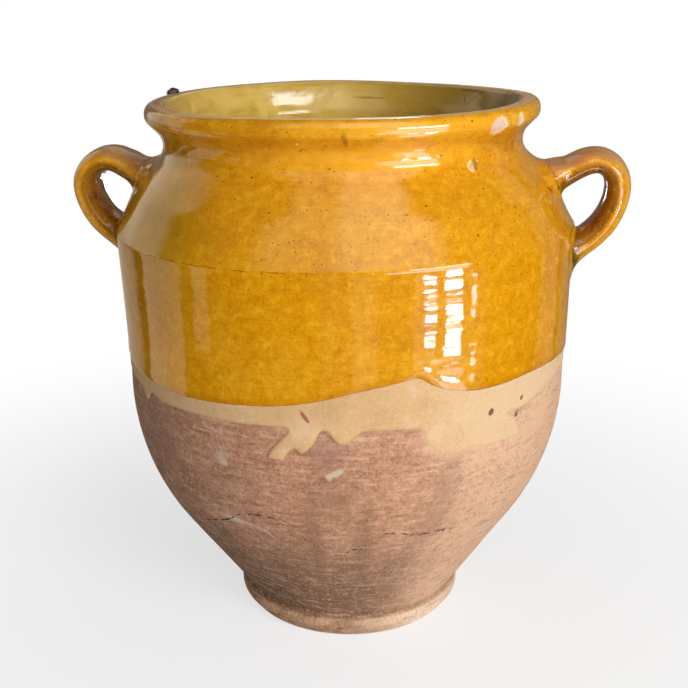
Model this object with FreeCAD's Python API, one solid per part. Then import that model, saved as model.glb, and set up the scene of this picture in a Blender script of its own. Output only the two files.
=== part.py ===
import FreeCAD, Part
import math
import os

from FreeCAD import Vector

# Confit pot: one thrown and glazed earthenware vessel with two strap handles.
# Millimetres, +Z up. The origin is the middle of the foot, on the resting plane.
# The handles stand along X, one at each end.

# Foot
foot_ring_radius = 66.0
base_inset = 8.0
base_edge_round = 5.0
heel_height = 8.0
heel_round = 7.0
foot_ring_top = 13.0
foot_ring_round = 2.0
groove_depth = 2.0
groove_rise = 3.5
groove_round = 3.0

# Belly and crease
belly_radius = 123.0
belly_height = 102.0
belly_round = 130.0
crease_overhang = 4.3
crease_round = 1.2

# Shoulder, neck and lip, each measured from the form next to it
rim_height = 300.0
lip_depth = 8.2
neck_below_rim = 22.0
shoulder_below_neck = 26.0
crease_below_shoulder = 23.5
shoulder_inset = 9.8
shoulder_round = 20.0
neck_inset = 22.8
neck_round = 9.0
lip_overhang = 12.6
lip_underside_round = 2.5
lip_outer_round = 5.2

# Wall, floor and mouth
wall = 8.5
floor_thickness = 11.0
floor_corner_round = 16.0
inner_crease_round = 30.0
rim_thickness = 11.0
rim_inner_round = 4.6

# Handles: pulled straps, set on edge so that the fingers pass through along Y
handle_width = 32.0
handle_thickness = 14.0
handle_edge_flat = 1.6
root_fillet = 5.0

# Middle line of each strap, from its root in the shoulder round to its root in the wall.
# Each point is (distance beyond the crease radius, height above the crease). They were pulled by hand
# and differ: the right one stands a little higher.
right_strap_line = [(-27.0, 18.0), (-8.0, 31.5), (10.0, 39.2), (20.2, 32.0), (12.8, 4.0), (-24.0, -20.0)]
left_strap_line = [(-22.0, 19.5), (-6.0, 29.8), (9.0, 35.4), (20.8, 25.0), (8.4, -3.0), (-21.0, -20.5)]

# Radii and heights that follow from the sizes above
base_radius = foot_ring_radius - base_inset
groove_radius = foot_ring_radius - groove_depth
groove_height = foot_ring_top + groove_rise
crease_radius = belly_radius + crease_overhang
shoulder_radius = crease_radius - shoulder_inset
neck_radius = shoulder_radius - neck_inset
lip_radius = neck_radius + lip_overhang
lip_underside_height = rim_height - lip_depth
neck_height = rim_height - neck_below_rim
shoulder_height = neck_height - shoulder_below_neck
crease_height = shoulder_height - crease_below_shoulder
handle_edge_round = (handle_thickness - handle_edge_flat) / 2

outside_corners = [
    (base_radius, 0.0, base_edge_round),
    (foot_ring_radius, heel_height, heel_round),
    (foot_ring_radius, foot_ring_top, foot_ring_round),
    (groove_radius, groove_height, groove_round),
    (belly_radius, belly_height, belly_round),
    (crease_radius, crease_height, crease_round),
    (shoulder_radius, shoulder_height, shoulder_round),
    (neck_radius, neck_height, neck_round),
    (lip_radius, lip_underside_height, lip_underside_round),
    (lip_radius, rim_height, lip_outer_round),
]


def rounded_chain(corners):
    """Edges in the XZ plane through corners (radius, height, round), with each round as a tangent arc."""
    edges = []
    start = Vector(corners[0][0], 0, corners[0][1])
    for before, corner, after in zip(corners, corners[1:], corners[2:]):
        tip = Vector(corner[0], 0, corner[1])
        back = (Vector(before[0], 0, before[1]) - tip).normalize()
        ahead = (Vector(after[0], 0, after[1]) - tip).normalize()
        half_angle = back.getAngle(ahead) / 2
        tangent_length = corner[2] / math.tan(half_angle)
        arc_start = tip + back * tangent_length
        arc_end = tip + ahead * tangent_length
        arc_middle = tip + (back + ahead).normalize() * (corner[2] / math.sin(half_angle) - corner[2])
        edges.append(Part.makeLine(start, arc_start))
        edges.append(Part.Arc(arc_start, arc_middle, arc_end).toShape())
        start = arc_end
    edges.append(Part.makeLine(start, Vector(corners[-1][0], 0, corners[-1][1])))
    return edges


def inset_corner(before, corner, after, distance):
    """The corner (radius, height) of the chain that runs at a distance inside before, corner and after."""
    tip = Vector(corner[0], 0, corner[1])
    into = (tip - Vector(before[0], 0, before[1])).normalize()
    onward = (Vector(after[0], 0, after[1]) - tip).normalize()
    into_normal = Vector(-into.z, 0, into.x)
    onward_normal = Vector(-onward.z, 0, onward.x)
    half_turn = into_normal.getAngle(onward_normal) / 2
    moved = tip + (into_normal + onward_normal).normalize() * (distance / math.cos(half_turn))
    return (moved.x, moved.z)


def turned_solid(corners):
    """Solid of revolution about Z, bounded by a rounded chain that starts and ends on the axis."""
    profile = Part.Face(Part.Wire(rounded_chain(corners) + [
        Part.makeLine(Vector(0, 0, corners[-1][1]), Vector(0, 0, corners[0][1])),
    ]))
    return profile.revolve(Vector(0, 0, 0), Vector(0, 0, 1), 360)


def outside_form():
    """The thrown form without its hollow."""
    return turned_solid([(0.0, 0.0)] + outside_corners + [(0.0, rim_height)])


def hollow():
    """The space inside the pot: the outside drawn in by the wall, down to the floor, and open at the rim."""
    groove, belly, crease, shoulder, neck = outside_corners[3:8]
    rim_edge = (lip_radius, rim_height)
    inner_belly = inset_corner(groove, belly, crease, wall)
    inner_crease = inset_corner(belly, crease, shoulder, wall)
    inner_shoulder = inset_corner(crease, shoulder, neck, wall)
    inner_neck = inset_corner(shoulder, neck, rim_edge, wall)
    flare_slope = (belly_radius - groove_radius) / (belly_height - groove_height)
    inner_floor_radius = inner_belly[0] - flare_slope * (inner_belly[1] - floor_thickness)
    corners = [
        (0.0, floor_thickness),
        (inner_floor_radius, floor_thickness, floor_corner_round),
        inner_belly + (belly_round - wall,),
        inner_crease + (inner_crease_round,),
        inner_shoulder + (shoulder_round - wall,),
        inner_neck + (neck_round + wall,),
        (lip_radius - rim_thickness, rim_height, rim_inner_round),
        (lip_radius, rim_height),
    ]
    edges = rounded_chain(corners)
    above_rim = rim_height + rim_thickness
    edges.append(Part.makeLine(Vector(lip_radius, 0, rim_height), Vector(lip_radius, 0, above_rim)))
    edges.append(Part.makeLine(Vector(lip_radius, 0, above_rim), Vector(0, 0, above_rim)))
    edges.append(Part.makeLine(Vector(0, 0, above_rim), Vector(0, 0, floor_thickness)))
    return Part.Face(Part.Wire(edges)).revolve(Vector(0, 0, 0), Vector(0, 0, 1), 360)


def strap_section(centre, direction):
    """Flat strap section with rounded edges, square to the direction at the centre. Its width lies along Y."""
    across = Vector(0, 1, 0)
    outward = direction.cross(across).normalize()
    half_width = across * (handle_width / 2)
    half_thickness = outward * (handle_thickness / 2)
    corners = [
        centre - half_width - half_thickness,
        centre + half_width - half_thickness,
        centre + half_width + half_thickness,
        centre - half_width + half_thickness,
    ]
    edges = []
    for corner, after, later in zip(corners, corners[1:] + corners[:1], corners[2:] + corners[:2]):
        side = (after - corner).normalize()
        turn = (later - after).normalize()
        side_end = after - side * handle_edge_round
        turn_start = after + turn * handle_edge_round
        round_centre = side_end + turn * handle_edge_round
        round_middle = round_centre + (side - turn).normalize() * handle_edge_round
        edges.append(Part.makeLine(corner + side * handle_edge_round, side_end))
        edges.append(Part.Arc(side_end, round_middle, turn_start).toShape())
    return Part.Wire(edges)


def strap_handle(strap_line):
    """A handle on the +X side, swept along its middle line with both ends inside the thrown form."""
    points = []
    for beyond, above in strap_line:
        points.append(Vector(crease_radius + beyond, 0, crease_height + above))
    line = Part.BSplineCurve()
    line.interpolate(points)
    start_direction = line.tangent(line.FirstParameter)[0]
    section = strap_section(points[0], start_direction)
    return Part.Wire(line.toShape()).makePipeShell([section], True, False)


def root_edges(joined, handles):
    """Edges where a handle meets the thrown form: they lie on both skins."""
    form_skin = outside_form().Shells[0]
    found = []
    for edge in joined.Edges:
        middle = Part.Vertex(edge.valueAt((edge.FirstParameter + edge.LastParameter) / 2))
        on_form = middle.distToShape(form_skin)[0] < 0.01
        on_handle = any(middle.distToShape(handle.Shells[0])[0] < 0.01 for handle in handles)
        if on_form and on_handle:
            found.append(edge)
    return found


def confit_pot():
    """The whole pot: the thrown form with its handles luted on and smoothed in, then hollowed."""
    right_handle = strap_handle(right_strap_line)
    left_handle = strap_handle(left_strap_line).rotated(Vector(0, 0, 0), Vector(0, 0, 1), 180)
    handles = [right_handle, left_handle]
    joined = outside_form().fuse(handles)
    smoothed = joined.makeFillet(root_fillet, root_edges(joined, handles))
    return smoothed.cut(hollow()).Solids[0]


os.makedirs("parts", exist_ok=True)
pot = confit_pot()
pot.exportStep("parts/pot.step")
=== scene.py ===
import logging
import math
from collections.abc import Callable, Sequence
from dataclasses import dataclass, field
from enum import Enum

import bpy
import numpy as np
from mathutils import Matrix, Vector
from mathutils.bvhtree import BVHTree


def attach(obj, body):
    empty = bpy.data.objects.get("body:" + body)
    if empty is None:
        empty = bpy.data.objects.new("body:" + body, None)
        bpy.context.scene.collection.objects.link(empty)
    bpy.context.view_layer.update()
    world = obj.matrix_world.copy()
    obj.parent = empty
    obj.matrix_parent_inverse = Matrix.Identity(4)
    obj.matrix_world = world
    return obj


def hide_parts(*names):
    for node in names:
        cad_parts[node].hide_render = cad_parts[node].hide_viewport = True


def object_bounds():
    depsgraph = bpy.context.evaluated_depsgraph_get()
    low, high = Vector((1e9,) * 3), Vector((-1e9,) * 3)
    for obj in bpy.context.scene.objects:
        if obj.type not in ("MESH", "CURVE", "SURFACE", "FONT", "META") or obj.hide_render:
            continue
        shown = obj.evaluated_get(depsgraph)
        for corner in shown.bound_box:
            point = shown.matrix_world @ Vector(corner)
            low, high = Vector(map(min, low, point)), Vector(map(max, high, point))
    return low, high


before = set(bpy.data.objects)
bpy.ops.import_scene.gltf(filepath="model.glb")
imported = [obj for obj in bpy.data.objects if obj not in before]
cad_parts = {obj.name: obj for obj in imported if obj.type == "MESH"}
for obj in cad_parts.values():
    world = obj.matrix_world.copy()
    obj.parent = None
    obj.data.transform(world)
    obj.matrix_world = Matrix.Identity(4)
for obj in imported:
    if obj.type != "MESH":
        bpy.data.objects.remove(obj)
cad_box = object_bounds()

# Confit pot: a thrown earthenware vessel with two pulled strap handles, dipped in cream slip and amber glaze.
# Lengths here are millimetres unless a name says otherwise, and turn into metres as each mesh is finished.
# Bearings are degrees round the pot: 0 faces -Y, 90 is the right handle on +X, -90 the left one.

log = logging.getLogger("confit_pot")

MM = 0.001
BODY = "root"
RIM_HEIGHT = (cad_box[1].z - cad_box[0].z) / MM

# Shaders count this many millimetres to a degree round the pot, near the girth's radius.
GIRTH_RADIUS = 122.0
DEGREE_LENGTH = 2.13

Array = np.ndarray
Piece = bpy.types.Object
Socket = bpy.types.NodeSocket
Tree = bpy.types.NodeTree
Corner = tuple[float, float, float]
Spot = tuple[float, float]
Field = Callable[[Array, Array, Array], Array]
Settle = Callable[[Array], tuple[Array, Array]]


def deselect_all() -> None:
    """Leaves nothing selected, so that the next operator meets its own piece only."""
    bpy.ops.object.select_all(action="DESELECT")


def select_only(piece: Piece) -> None:
    """Selects one piece and makes it active, with nothing else selected."""
    deselect_all()
    bpy.context.view_layer.objects.active = piece
    piece.select_set(True)


def take_new(name: str) -> Piece:
    """Returns the primitive that was just added, named as its piece."""
    piece = bpy.context.object
    piece.name = name
    piece.data.name = name
    return piece


def smooth_step(value: Array, low: float, high: float) -> Array:
    """Ramps smoothly from 0 at low to 1 at high.

    Args:
        value: Where to read the ramp.
        low: The value at which it leaves 0. It may be above high.
        high: The value at which it reaches 1.

    Returns:
        The ramp's height at each value.
    """
    share = np.clip((np.asarray(value, float) - low) / (high - low), 0.0, 1.0)
    return share * share * (3.0 - 2.0 * share)


def round_edge(level: Array, reach: float) -> Array:
    """Gives the rounded rise of a coat from 0 at its free edge to 1 at a reach inside it."""
    return np.sqrt(1.0 - (1.0 - np.clip(level / reach, 0.0, 1.0)) ** 2)


def ripple(points: Array, length: float, seed: int, waves: int = 14) -> Array:
    """Gives soft random relief, about -1 to 1, as the sum of plane waves.

    Args:
        points: Places, one per row.
        length: The typical wave length, in the points' unit.
        seed: Which relief to give. The same seed gives the same relief.
        waves: How many plane waves to add.

    Returns:
        The relief at each point.
    """
    random = np.random.default_rng(seed)
    directions = random.normal(size=(waves, 3))
    directions /= np.linalg.norm(directions, axis=1)[:, None]
    lengths = length * random.uniform(0.6, 1.6, waves)
    phases = random.uniform(0.0, 2.0 * math.pi, waves)
    turns = points @ (directions * (2.0 * math.pi / lengths)[:, None]).T + phases
    return np.sin(turns).sum(axis=1) / math.sqrt(waves / 2.0) / 1.6


def read_points(piece: Piece) -> Array:
    """Returns a mesh's vertex places in millimetres, one per row."""
    places = np.zeros(len(piece.data.vertices) * 3, np.float32)
    piece.data.vertices.foreach_get("co", places)
    return places.reshape(-1, 3).astype(float) / MM


def write_points(piece: Piece, points: Array) -> None:
    """Puts a mesh's vertices at places given in millimetres."""
    piece.data.vertices.foreach_set("co", (points * MM).astype(np.float32).ravel())
    piece.data.update()


def write_attribute(piece: Piece, name: str, values: Array) -> None:
    """Keeps one number per vertex under a name that the finishes read."""
    attribute = piece.data.attributes.new(name, "FLOAT", "POINT")
    attribute.data.foreach_set("value", np.asarray(values, np.float32))


def around(bearing: Array, radius: Array, height: Array) -> Array:
    """Turns bearings in degrees, radii and heights into places, one per row."""
    turn = np.radians(bearing)
    return np.stack([radius * np.sin(turn), -radius * np.cos(turn), height * np.ones_like(turn)], axis=-1)


@dataclass(frozen=True)
class PotForm:
    """Sizes of the thrown form. Each height above the belly hangs from the rim."""

    rim_height: float = 300.0
    foot_ring_radius: float = 66.0
    base_inset: float = 6.5
    base_edge_round: float = 5.0
    heel_height: float = 8.0
    heel_round: float = 7.0
    foot_ring_top: float = 13.0
    foot_ring_round: float = 2.0
    groove_depth: float = 2.0
    groove_rise: float = 3.5
    groove_round: float = 3.0
    belly_radius: float = 123.6
    belly_height: float = 102.0
    belly_round: float = 130.0
    crease_overhang: float = 3.5
    crease_round: float = 1.2
    lip_depth: float = 8.2
    neck_below_rim: float = 22.0
    shoulder_below_neck: float = 25.0
    crease_below_shoulder: float = 21.8
    shoulder_inset: float = 10.4
    shoulder_round: float = 19.0
    neck_inset: float = 22.4
    neck_round: float = 12.0
    lip_overhang: float = 13.6
    lip_underside_round: float = 4.5
    lip_outer_round: float = 5.2
    rim_thickness: float = 11.0
    rim_inner_round: float = 4.6
    wall: float = 8.5
    floor_thickness: float = 11.0
    floor_corner_round: float = 16.0
    inner_crease_round: float = 30.0

    @property
    def crease_radius(self) -> float:
        """Radius at the crease, the widest ring."""
        return self.belly_radius + self.crease_overhang

    @property
    def lip_radius(self) -> float:
        """Radius over the lip."""
        return self.crease_radius - self.shoulder_inset - self.neck_inset + self.lip_overhang

    @property
    def crease_height(self) -> float:
        """Height of the crease."""
        below_rim = self.neck_below_rim + self.shoulder_below_neck + self.crease_below_shoulder
        return self.rim_height - below_rim

    def outside_corners(self) -> list[Corner]:
        """Returns the outside as corners (radius, height, round), from the middle of the base to the rim."""
        neck_height = self.rim_height - self.neck_below_rim
        shoulder_radius = self.crease_radius - self.shoulder_inset
        return [
            (0.0, 0.0, 0.0),
            (self.foot_ring_radius - self.base_inset, 0.0, self.base_edge_round),
            (self.foot_ring_radius, self.heel_height, self.heel_round),
            (self.foot_ring_radius, self.foot_ring_top, self.foot_ring_round),
            (self.foot_ring_radius - self.groove_depth, self.foot_ring_top + self.groove_rise, self.groove_round),
            (self.belly_radius, self.belly_height, self.belly_round),
            (self.crease_radius, self.crease_height, self.crease_round),
            (shoulder_radius, neck_height - self.shoulder_below_neck, self.shoulder_round),
            (shoulder_radius - self.neck_inset, neck_height, self.neck_round),
            (self.lip_radius, self.rim_height - self.lip_depth, self.lip_underside_round),
            (self.lip_radius, self.rim_height, self.lip_outer_round),
        ]

    def inside_corners(self) -> list[Corner]:
        """Returns the inside as corners (radius, height, round), from the rim to the middle of the floor."""
        groove, belly, crease, shoulder, neck = self.outside_corners()[4:9]
        lip_edge = (self.lip_radius, self.rim_height, 0.0)
        inner_belly = inset_corner(groove, belly, crease, self.wall)
        inner_crease = inset_corner(belly, crease, shoulder, self.wall)
        inner_shoulder = inset_corner(crease, shoulder, neck, self.wall)
        inner_neck = inset_corner(shoulder, neck, lip_edge, self.wall)
        flare = (belly[0] - groove[0]) / (belly[1] - groove[1])
        floor_radius = inner_belly[0] - flare * (inner_belly[1] - self.floor_thickness)
        return [
            (self.lip_radius - self.rim_thickness, self.rim_height, self.rim_inner_round),
            (*inner_neck, self.neck_round + self.wall),
            (*inner_shoulder, self.shoulder_round - self.wall),
            (*inner_crease, self.inner_crease_round),
            (*inner_belly, self.belly_round - self.wall),
            (floor_radius, self.floor_thickness, self.floor_corner_round),
            (0.0, self.floor_thickness, 0.0),
        ]


def inset_corner(before: Corner, corner: Corner, after: Corner, distance: float) -> Spot:
    """Finds a corner of the line that runs inside another at a distance.

    Args:
        before: The corner before it on the outer line.
        corner: The corner on the outer line.
        after: The corner after it on the outer line.
        distance: How far inside the inner line runs.

    Returns:
        The inner corner's radius and height.
    """
    tip = Vector(corner[:2])
    into = (tip - Vector(before[:2])).normalized()
    onward = (Vector(after[:2]) - tip).normalized()
    normals = Vector((-into.y, into.x)) + Vector((-onward.y, onward.x))
    half_turn = Vector((-into.y, into.x)).angle(Vector((-onward.y, onward.x))) / 2.0
    moved = tip + normals.normalized() * (distance / math.cos(half_turn))
    return (moved.x, moved.y)


class Profile:
    """A turned section: corners joined by straight lines and tangent arcs, read by the length along it."""

    def __init__(self, corners: Sequence[Corner], fine: float = 0.25) -> None:
        """Works out the line.

        Args:
            corners: Corners as (radius, height, round). The first and last have no round.
            fine: The spacing at which the line is kept.
        """
        line = [np.array(corners[0][:2])]
        for before, corner, after in zip(corners, corners[1:], corners[2:]):
            line.extend(self._round(np.array(before[:2]), corner, np.array(after[:2]), fine))
        line.append(np.array(corners[-1][:2]))
        kept = np.array(line)
        steps = np.linalg.norm(np.diff(kept, axis=0), axis=1)
        kept = kept[np.concatenate([[True], steps > 1e-6])]
        lengths = np.concatenate([[0.0], np.cumsum(np.linalg.norm(np.diff(kept, axis=0), axis=1))])
        self.length = float(lengths[-1])
        self.along = np.linspace(0.0, self.length, int(self.length / fine) + 1)
        self.radius = np.interp(self.along, lengths, kept[:, 0])
        self.height = np.interp(self.along, lengths, kept[:, 1])
        rise = np.gradient(self.height, self.along)
        run = np.gradient(self.radius, self.along)
        size = np.hypot(rise, run)
        self.out_radial = rise / size
        self.out_upward = -run / size
        self.bend = np.abs(np.gradient(np.unwrap(np.arctan2(rise, run)), self.along))

    @staticmethod
    def _round(before: Array, corner: Corner, after: Array, fine: float) -> list[Array]:
        """Returns the points of one rounded corner, or the bare corner where it has no round."""
        tip = np.array(corner[:2])
        if corner[2] <= 0.0:
            return [tip]
        back = (before - tip) / np.linalg.norm(before - tip)
        ahead = (after - tip) / np.linalg.norm(after - tip)
        half = math.acos(float(np.clip(back @ ahead, -1.0, 1.0))) / 2.0
        centre = tip + (back + ahead) / np.linalg.norm(back + ahead) * corner[2] / math.sin(half)
        start = tip + back * corner[2] / math.tan(half) - centre
        end = tip + ahead * corner[2] / math.tan(half) - centre
        turn = math.atan2(start[0] * end[1] - start[1] * end[0], float(start @ end))
        count = max(3, int(abs(turn) * corner[2] / fine))
        angles = np.linspace(0.0, turn, count + 1)
        cosines, sines = np.cos(angles), np.sin(angles)
        return [
            centre + np.array([start[0] * c - start[1] * s, start[0] * s + start[1] * c])
            for c, s in zip(cosines, sines)
        ]

    def read(self, along: Array, offset: Array | float = 0.0) -> tuple[Array, Array]:
        """Reads radius and height at lengths along the line, moved out of the clay by an offset."""
        radial = np.interp(along, self.along, self.out_radial)
        upward = np.interp(along, self.along, self.out_upward)
        size = np.hypot(radial, upward)
        radius = np.interp(along, self.along, self.radius) + offset * radial / size
        height = np.interp(along, self.along, self.height) + offset * upward / size
        return radius, height

    def along_at(self, height: float, rising: bool = True) -> float:
        """Finds the length along the line where it first reaches a height, going up or coming down."""
        passed = self.height >= height if rising else self.height <= height
        return float(self.along[int(np.argmax(passed))])

    def stations(self, start: float, end: float, step: float, turn: float) -> Array:
        """Spreads stations along the line, closer together where it bends.

        Args:
            start: Length along the line of the first station.
            end: Length along the line of the last station.
            step: The widest spacing, on straight stretches.
            turn: How many radians the line may turn between two stations.

        Returns:
            The stations' lengths along the line.
        """
        density = np.maximum(1.0 / step, self.bend / turn)
        counted = np.concatenate([[0.0], np.cumsum((density[1:] + density[:-1]) / 2.0 * np.diff(self.along))])
        first, last = np.interp([start, end], self.along, counted)
        counts = np.linspace(first, last, max(2, int(math.ceil(last - first))) + 1)
        return np.interp(counts, counted, self.along)

    def distance(self, points: Array) -> tuple[Array, Array]:
        """Measures how far places lie outside the turned surface.

        Args:
            points: Places, one per row.

        Returns:
            The signed distance, above 0 outside, and the outward direction at the nearest place.
        """
        spread = np.hypot(points[:, 0], points[:, 1])
        distances = np.empty(len(points))
        outward = np.empty((len(points), 3))
        coarse = slice(None, None, 4)
        line = np.stack([self.radius[coarse], self.height[coarse]], axis=1)
        for part in range(0, len(points), 4000):
            here = slice(part, part + 4000)
            gap = np.stack([spread[here], points[here, 2]], axis=1)[:, None, :] - line[None, :, :]
            nearest = np.argmin((gap ** 2).sum(axis=2), axis=1)
            best = gap[np.arange(len(nearest)), nearest]
            radial = self.out_radial[coarse][nearest]
            upward = self.out_upward[coarse][nearest]
            distances[here] = best[:, 0] * radial + best[:, 1] * upward
            unit = points[here, :2] / np.maximum(spread[here], 1e-6)[:, None]
            outward[here] = np.concatenate([unit * radial[:, None], upward[:, None]], axis=1)
        return distances, outward


@dataclass(frozen=True)
class HandThrown:
    """How the pot departs from a true turned form: it settled and warped while soft."""

    lean_degrees: float = 1.1
    lean_bearing: float = 83.0
    lean_pivot: float = 170.0
    lean_start: float = 150.0
    lean_full: float = 230.0
    rim_warp: float = -0.35
    rim_sink: float = 0.5
    rim_waves: Sequence[Corner] = ((1.0, -0.53, -0.56), (2.0, 0.32, 0.3), (3.0, 0.26, -0.16), (4.0, 0.26, 0.1))
    belly_oval: float = 0.3
    belly_swell: float = 0.2
    ring_relief: float = 0.03
    foot_shift: float = 1.8

    def shape(self, points: Array) -> Array:
        """Moves places on the true form to where they lie on the pot."""
        moved = points.copy()
        height = points[:, 2]
        radius = np.maximum(np.hypot(points[:, 0], points[:, 1]), 1e-6)
        bearing = np.arctan2(points[:, 0], -points[:, 1])
        swell = self.belly_oval * np.sin(2.0 * bearing + 0.9) * smooth_step(height, 20.0, 120.0)
        swell += self.belly_swell * np.sin(3.0 * bearing + 0.02 * height) * smooth_step(height, 60.0, 150.0)
        swell += self.ring_relief * np.sin(height * 0.95 + 0.4 * bearing + 1.3 * np.sin(height * 0.13))
        swell *= np.clip(radius / 60.0, 0.0, 1.0)
        moved[:, :2] += points[:, :2] / radius[:, None] * swell[:, None]
        moved[:, 0] += self.foot_shift * smooth_step(height, 75.0, 15.0)
        near_rim = smooth_step(height, 262.0, 298.0)
        wave = np.sin(2.0 * bearing + 2.2) + 0.6 * np.sin(3.0 * bearing + 0.7) + 0.35 * np.sin(7.0 * bearing)
        settled = self.rim_warp * wave - self.rim_sink
        for count, along_cosine, along_sine in self.rim_waves:
            settled += along_cosine * np.cos(count * bearing) + along_sine * np.sin(count * bearing)
        moved[:, 2] += settled * near_rim
        return self._lean(moved, height)

    def unshape(self, points: Array) -> Array:
        """Finds the places on the true form that lie at given places on the pot."""
        true = points.copy()
        for _ in range(4):
            true -= self.shape(true) - points
        return true

    def _lean(self, points: Array, height: Array) -> Array:
        """Tips what stands above the pivot, more and more up to its full angle."""
        angle = math.radians(self.lean_degrees) * smooth_step(height, self.lean_start, self.lean_full)
        turn = math.radians(self.lean_bearing)
        side = np.array([math.sin(turn), -math.cos(turn), 0.0])
        reach = points @ side
        rise = points[:, 2] - self.lean_pivot
        new_reach = reach * np.cos(angle) - rise * np.sin(angle)
        new_rise = reach * np.sin(angle) + rise * np.cos(angle)
        leaned = points + (new_reach - reach)[:, None] * side
        leaned[:, 2] = new_rise + self.lean_pivot
        return leaned


class Outline:
    """A free edge round the pot, through points (bearing, height) drawn from left to right."""

    margin = 9.0

    def __init__(self, points: Sequence[Spot], closed_patch: bool = False, radius: float = GIRTH_RADIUS) -> None:
        """Smooths the points into a line.

        Args:
            points: Bearings in degrees and heights. They may double back, as at a drip.
            closed_patch: Whether the line closes on itself as a patch, and doesn't go round the pot.
            radius: The radius at which bearings turn into lengths.
        """
        self.scale = math.radians(1.0) * radius
        self.closed_patch = closed_patch
        drawn = np.array(points, float) * (self.scale, 1.0)
        period = np.array([0.0 if closed_patch else 360.0 * self.scale, 0.0])
        ring = np.concatenate([drawn[-1:] - period, drawn, drawn[:2] + period])
        line = []
        for before, start, end, after in zip(ring, ring[1:], ring[2:], ring[3:]):
            line.extend(self._span(before, start, end, after))
        self.line = np.array(line)
        if not closed_patch:
            tail = self.line[self.line[:, 0] > 160.0 * self.scale] - period
            self.line = np.concatenate([tail, self.line])
        self.lowest = float(self.line[:, 1].min()) - self.margin
        self.highest = float(self.line[:, 1].max()) + self.margin

    @staticmethod
    def _span(before: Array, start: Array, end: Array, after: Array) -> list[Array]:
        """Returns points about 1 mm apart from start up to end, on a smooth curve through all four."""
        reach = float(np.linalg.norm(end - start))
        into = (end - before) / max(np.linalg.norm(end - before), 1e-6) * reach
        out = (after - start) / max(np.linalg.norm(after - start), 1e-6) * reach
        shares = np.linspace(0.0, 1.0, max(2, int(reach)) + 1)[:-1]
        return [
            start * (2 * t ** 3 - 3 * t ** 2 + 1) + into * (t ** 3 - 2 * t ** 2 + t)
            + end * (3 * t ** 2 - 2 * t ** 3) + out * (t ** 3 - t ** 2)
            for t in shares
        ]

    def distance(self, bearing: Array, height: Array) -> Array:
        """Measures how far places lie above the edge, or inside the patch, and below 0 on its other side."""
        start, end = self.line[:-1], self.line[1:]
        if self.closed_patch:
            start, end = self.line, np.roll(self.line, -1, axis=0)
        side = end - start
        length = np.maximum((side ** 2).sum(axis=1), 1e-12)
        flat = np.stack([bearing.ravel() * self.scale, height.ravel()], axis=1)
        above = flat[:, 1] - self.highest + self.margin
        if self.closed_patch:
            found = np.minimum(-above, -self.margin)
        else:
            found = np.where(above > 0.0, above, self.lowest - self.margin - flat[:, 1])
        close = np.flatnonzero((flat[:, 1] > self.lowest) & (flat[:, 1] < self.highest))
        for part in range(0, len(close), 3000):
            rows = close[part:part + 3000]
            here = flat[rows, None, :]
            away = here - start
            share = np.clip((away * side).sum(axis=2) / length, 0.0, 1.0)
            gap = np.sqrt((((away - share[:, :, None] * side)) ** 2).sum(axis=2).min(axis=1))
            spans = (start[:, 0] <= here[:, :, 0]) != (end[:, 0] <= here[:, :, 0])
            run = np.where(np.abs(side[:, 0]) < 1e-12, 1e-12, side[:, 0])
            crossing = start[:, 1] + (here[:, :, 0] - start[:, 0]) / run * side[:, 1]
            odd = (spans & (crossing < here[:, :, 1])).sum(axis=1) % 2 == 1
            found[rows] = np.where(odd, gap, -gap)
        return found.reshape(np.shape(bearing))


def mesh_piece(name: str, points: Array, faces: Sequence[Sequence[int]]) -> Piece:
    """Makes a mesh object from places in millimetres and faces."""
    mesh = bpy.data.meshes.new(name)
    mesh.from_pydata((points * MM).tolist(), [], [list(face) for face in faces])
    mesh.update()
    piece = bpy.data.objects.new(name, mesh)
    bpy.context.scene.collection.objects.link(piece)
    return piece


def edit_all(piece: Piece) -> None:
    """Opens one piece in edit mode with everything on it selected."""
    select_only(piece)
    bpy.ops.object.mode_set(mode="EDIT")
    bpy.ops.mesh.select_all(action="SELECT")


def close_edit() -> None:
    """Goes back to object mode and leaves nothing selected."""
    bpy.ops.object.mode_set(mode="OBJECT")
    deselect_all()


def apply_modifier(piece: Piece, kind: str, **settings: object) -> None:
    """Adds one modifier with its settings and applies it at once."""
    select_only(piece)
    modifier = piece.modifiers.new(kind.title(), kind)
    for key, value in settings.items():
        setattr(modifier, key, value)
    bpy.ops.object.modifier_apply(modifier=modifier.name)
    deselect_all()


def smooth_faces(piece: Piece, degrees: float) -> None:
    """Shades a piece smooth, with edges sharper than an angle left crisp."""
    select_only(piece)
    bpy.ops.object.shade_smooth_by_angle(angle=math.radians(degrees))
    deselect_all()


def fit_out(piece: Piece, material: bpy.types.Material) -> None:
    """Gives a finished piece its material and the body that it rides on."""
    piece.data.materials.clear()
    piece.data.materials.append(material)
    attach(piece, BODY)
    triangles = sum(len(face.vertices) - 2 for face in piece.data.polygons)
    log.info("%s: %d triangles", piece.name, triangles)


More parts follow.
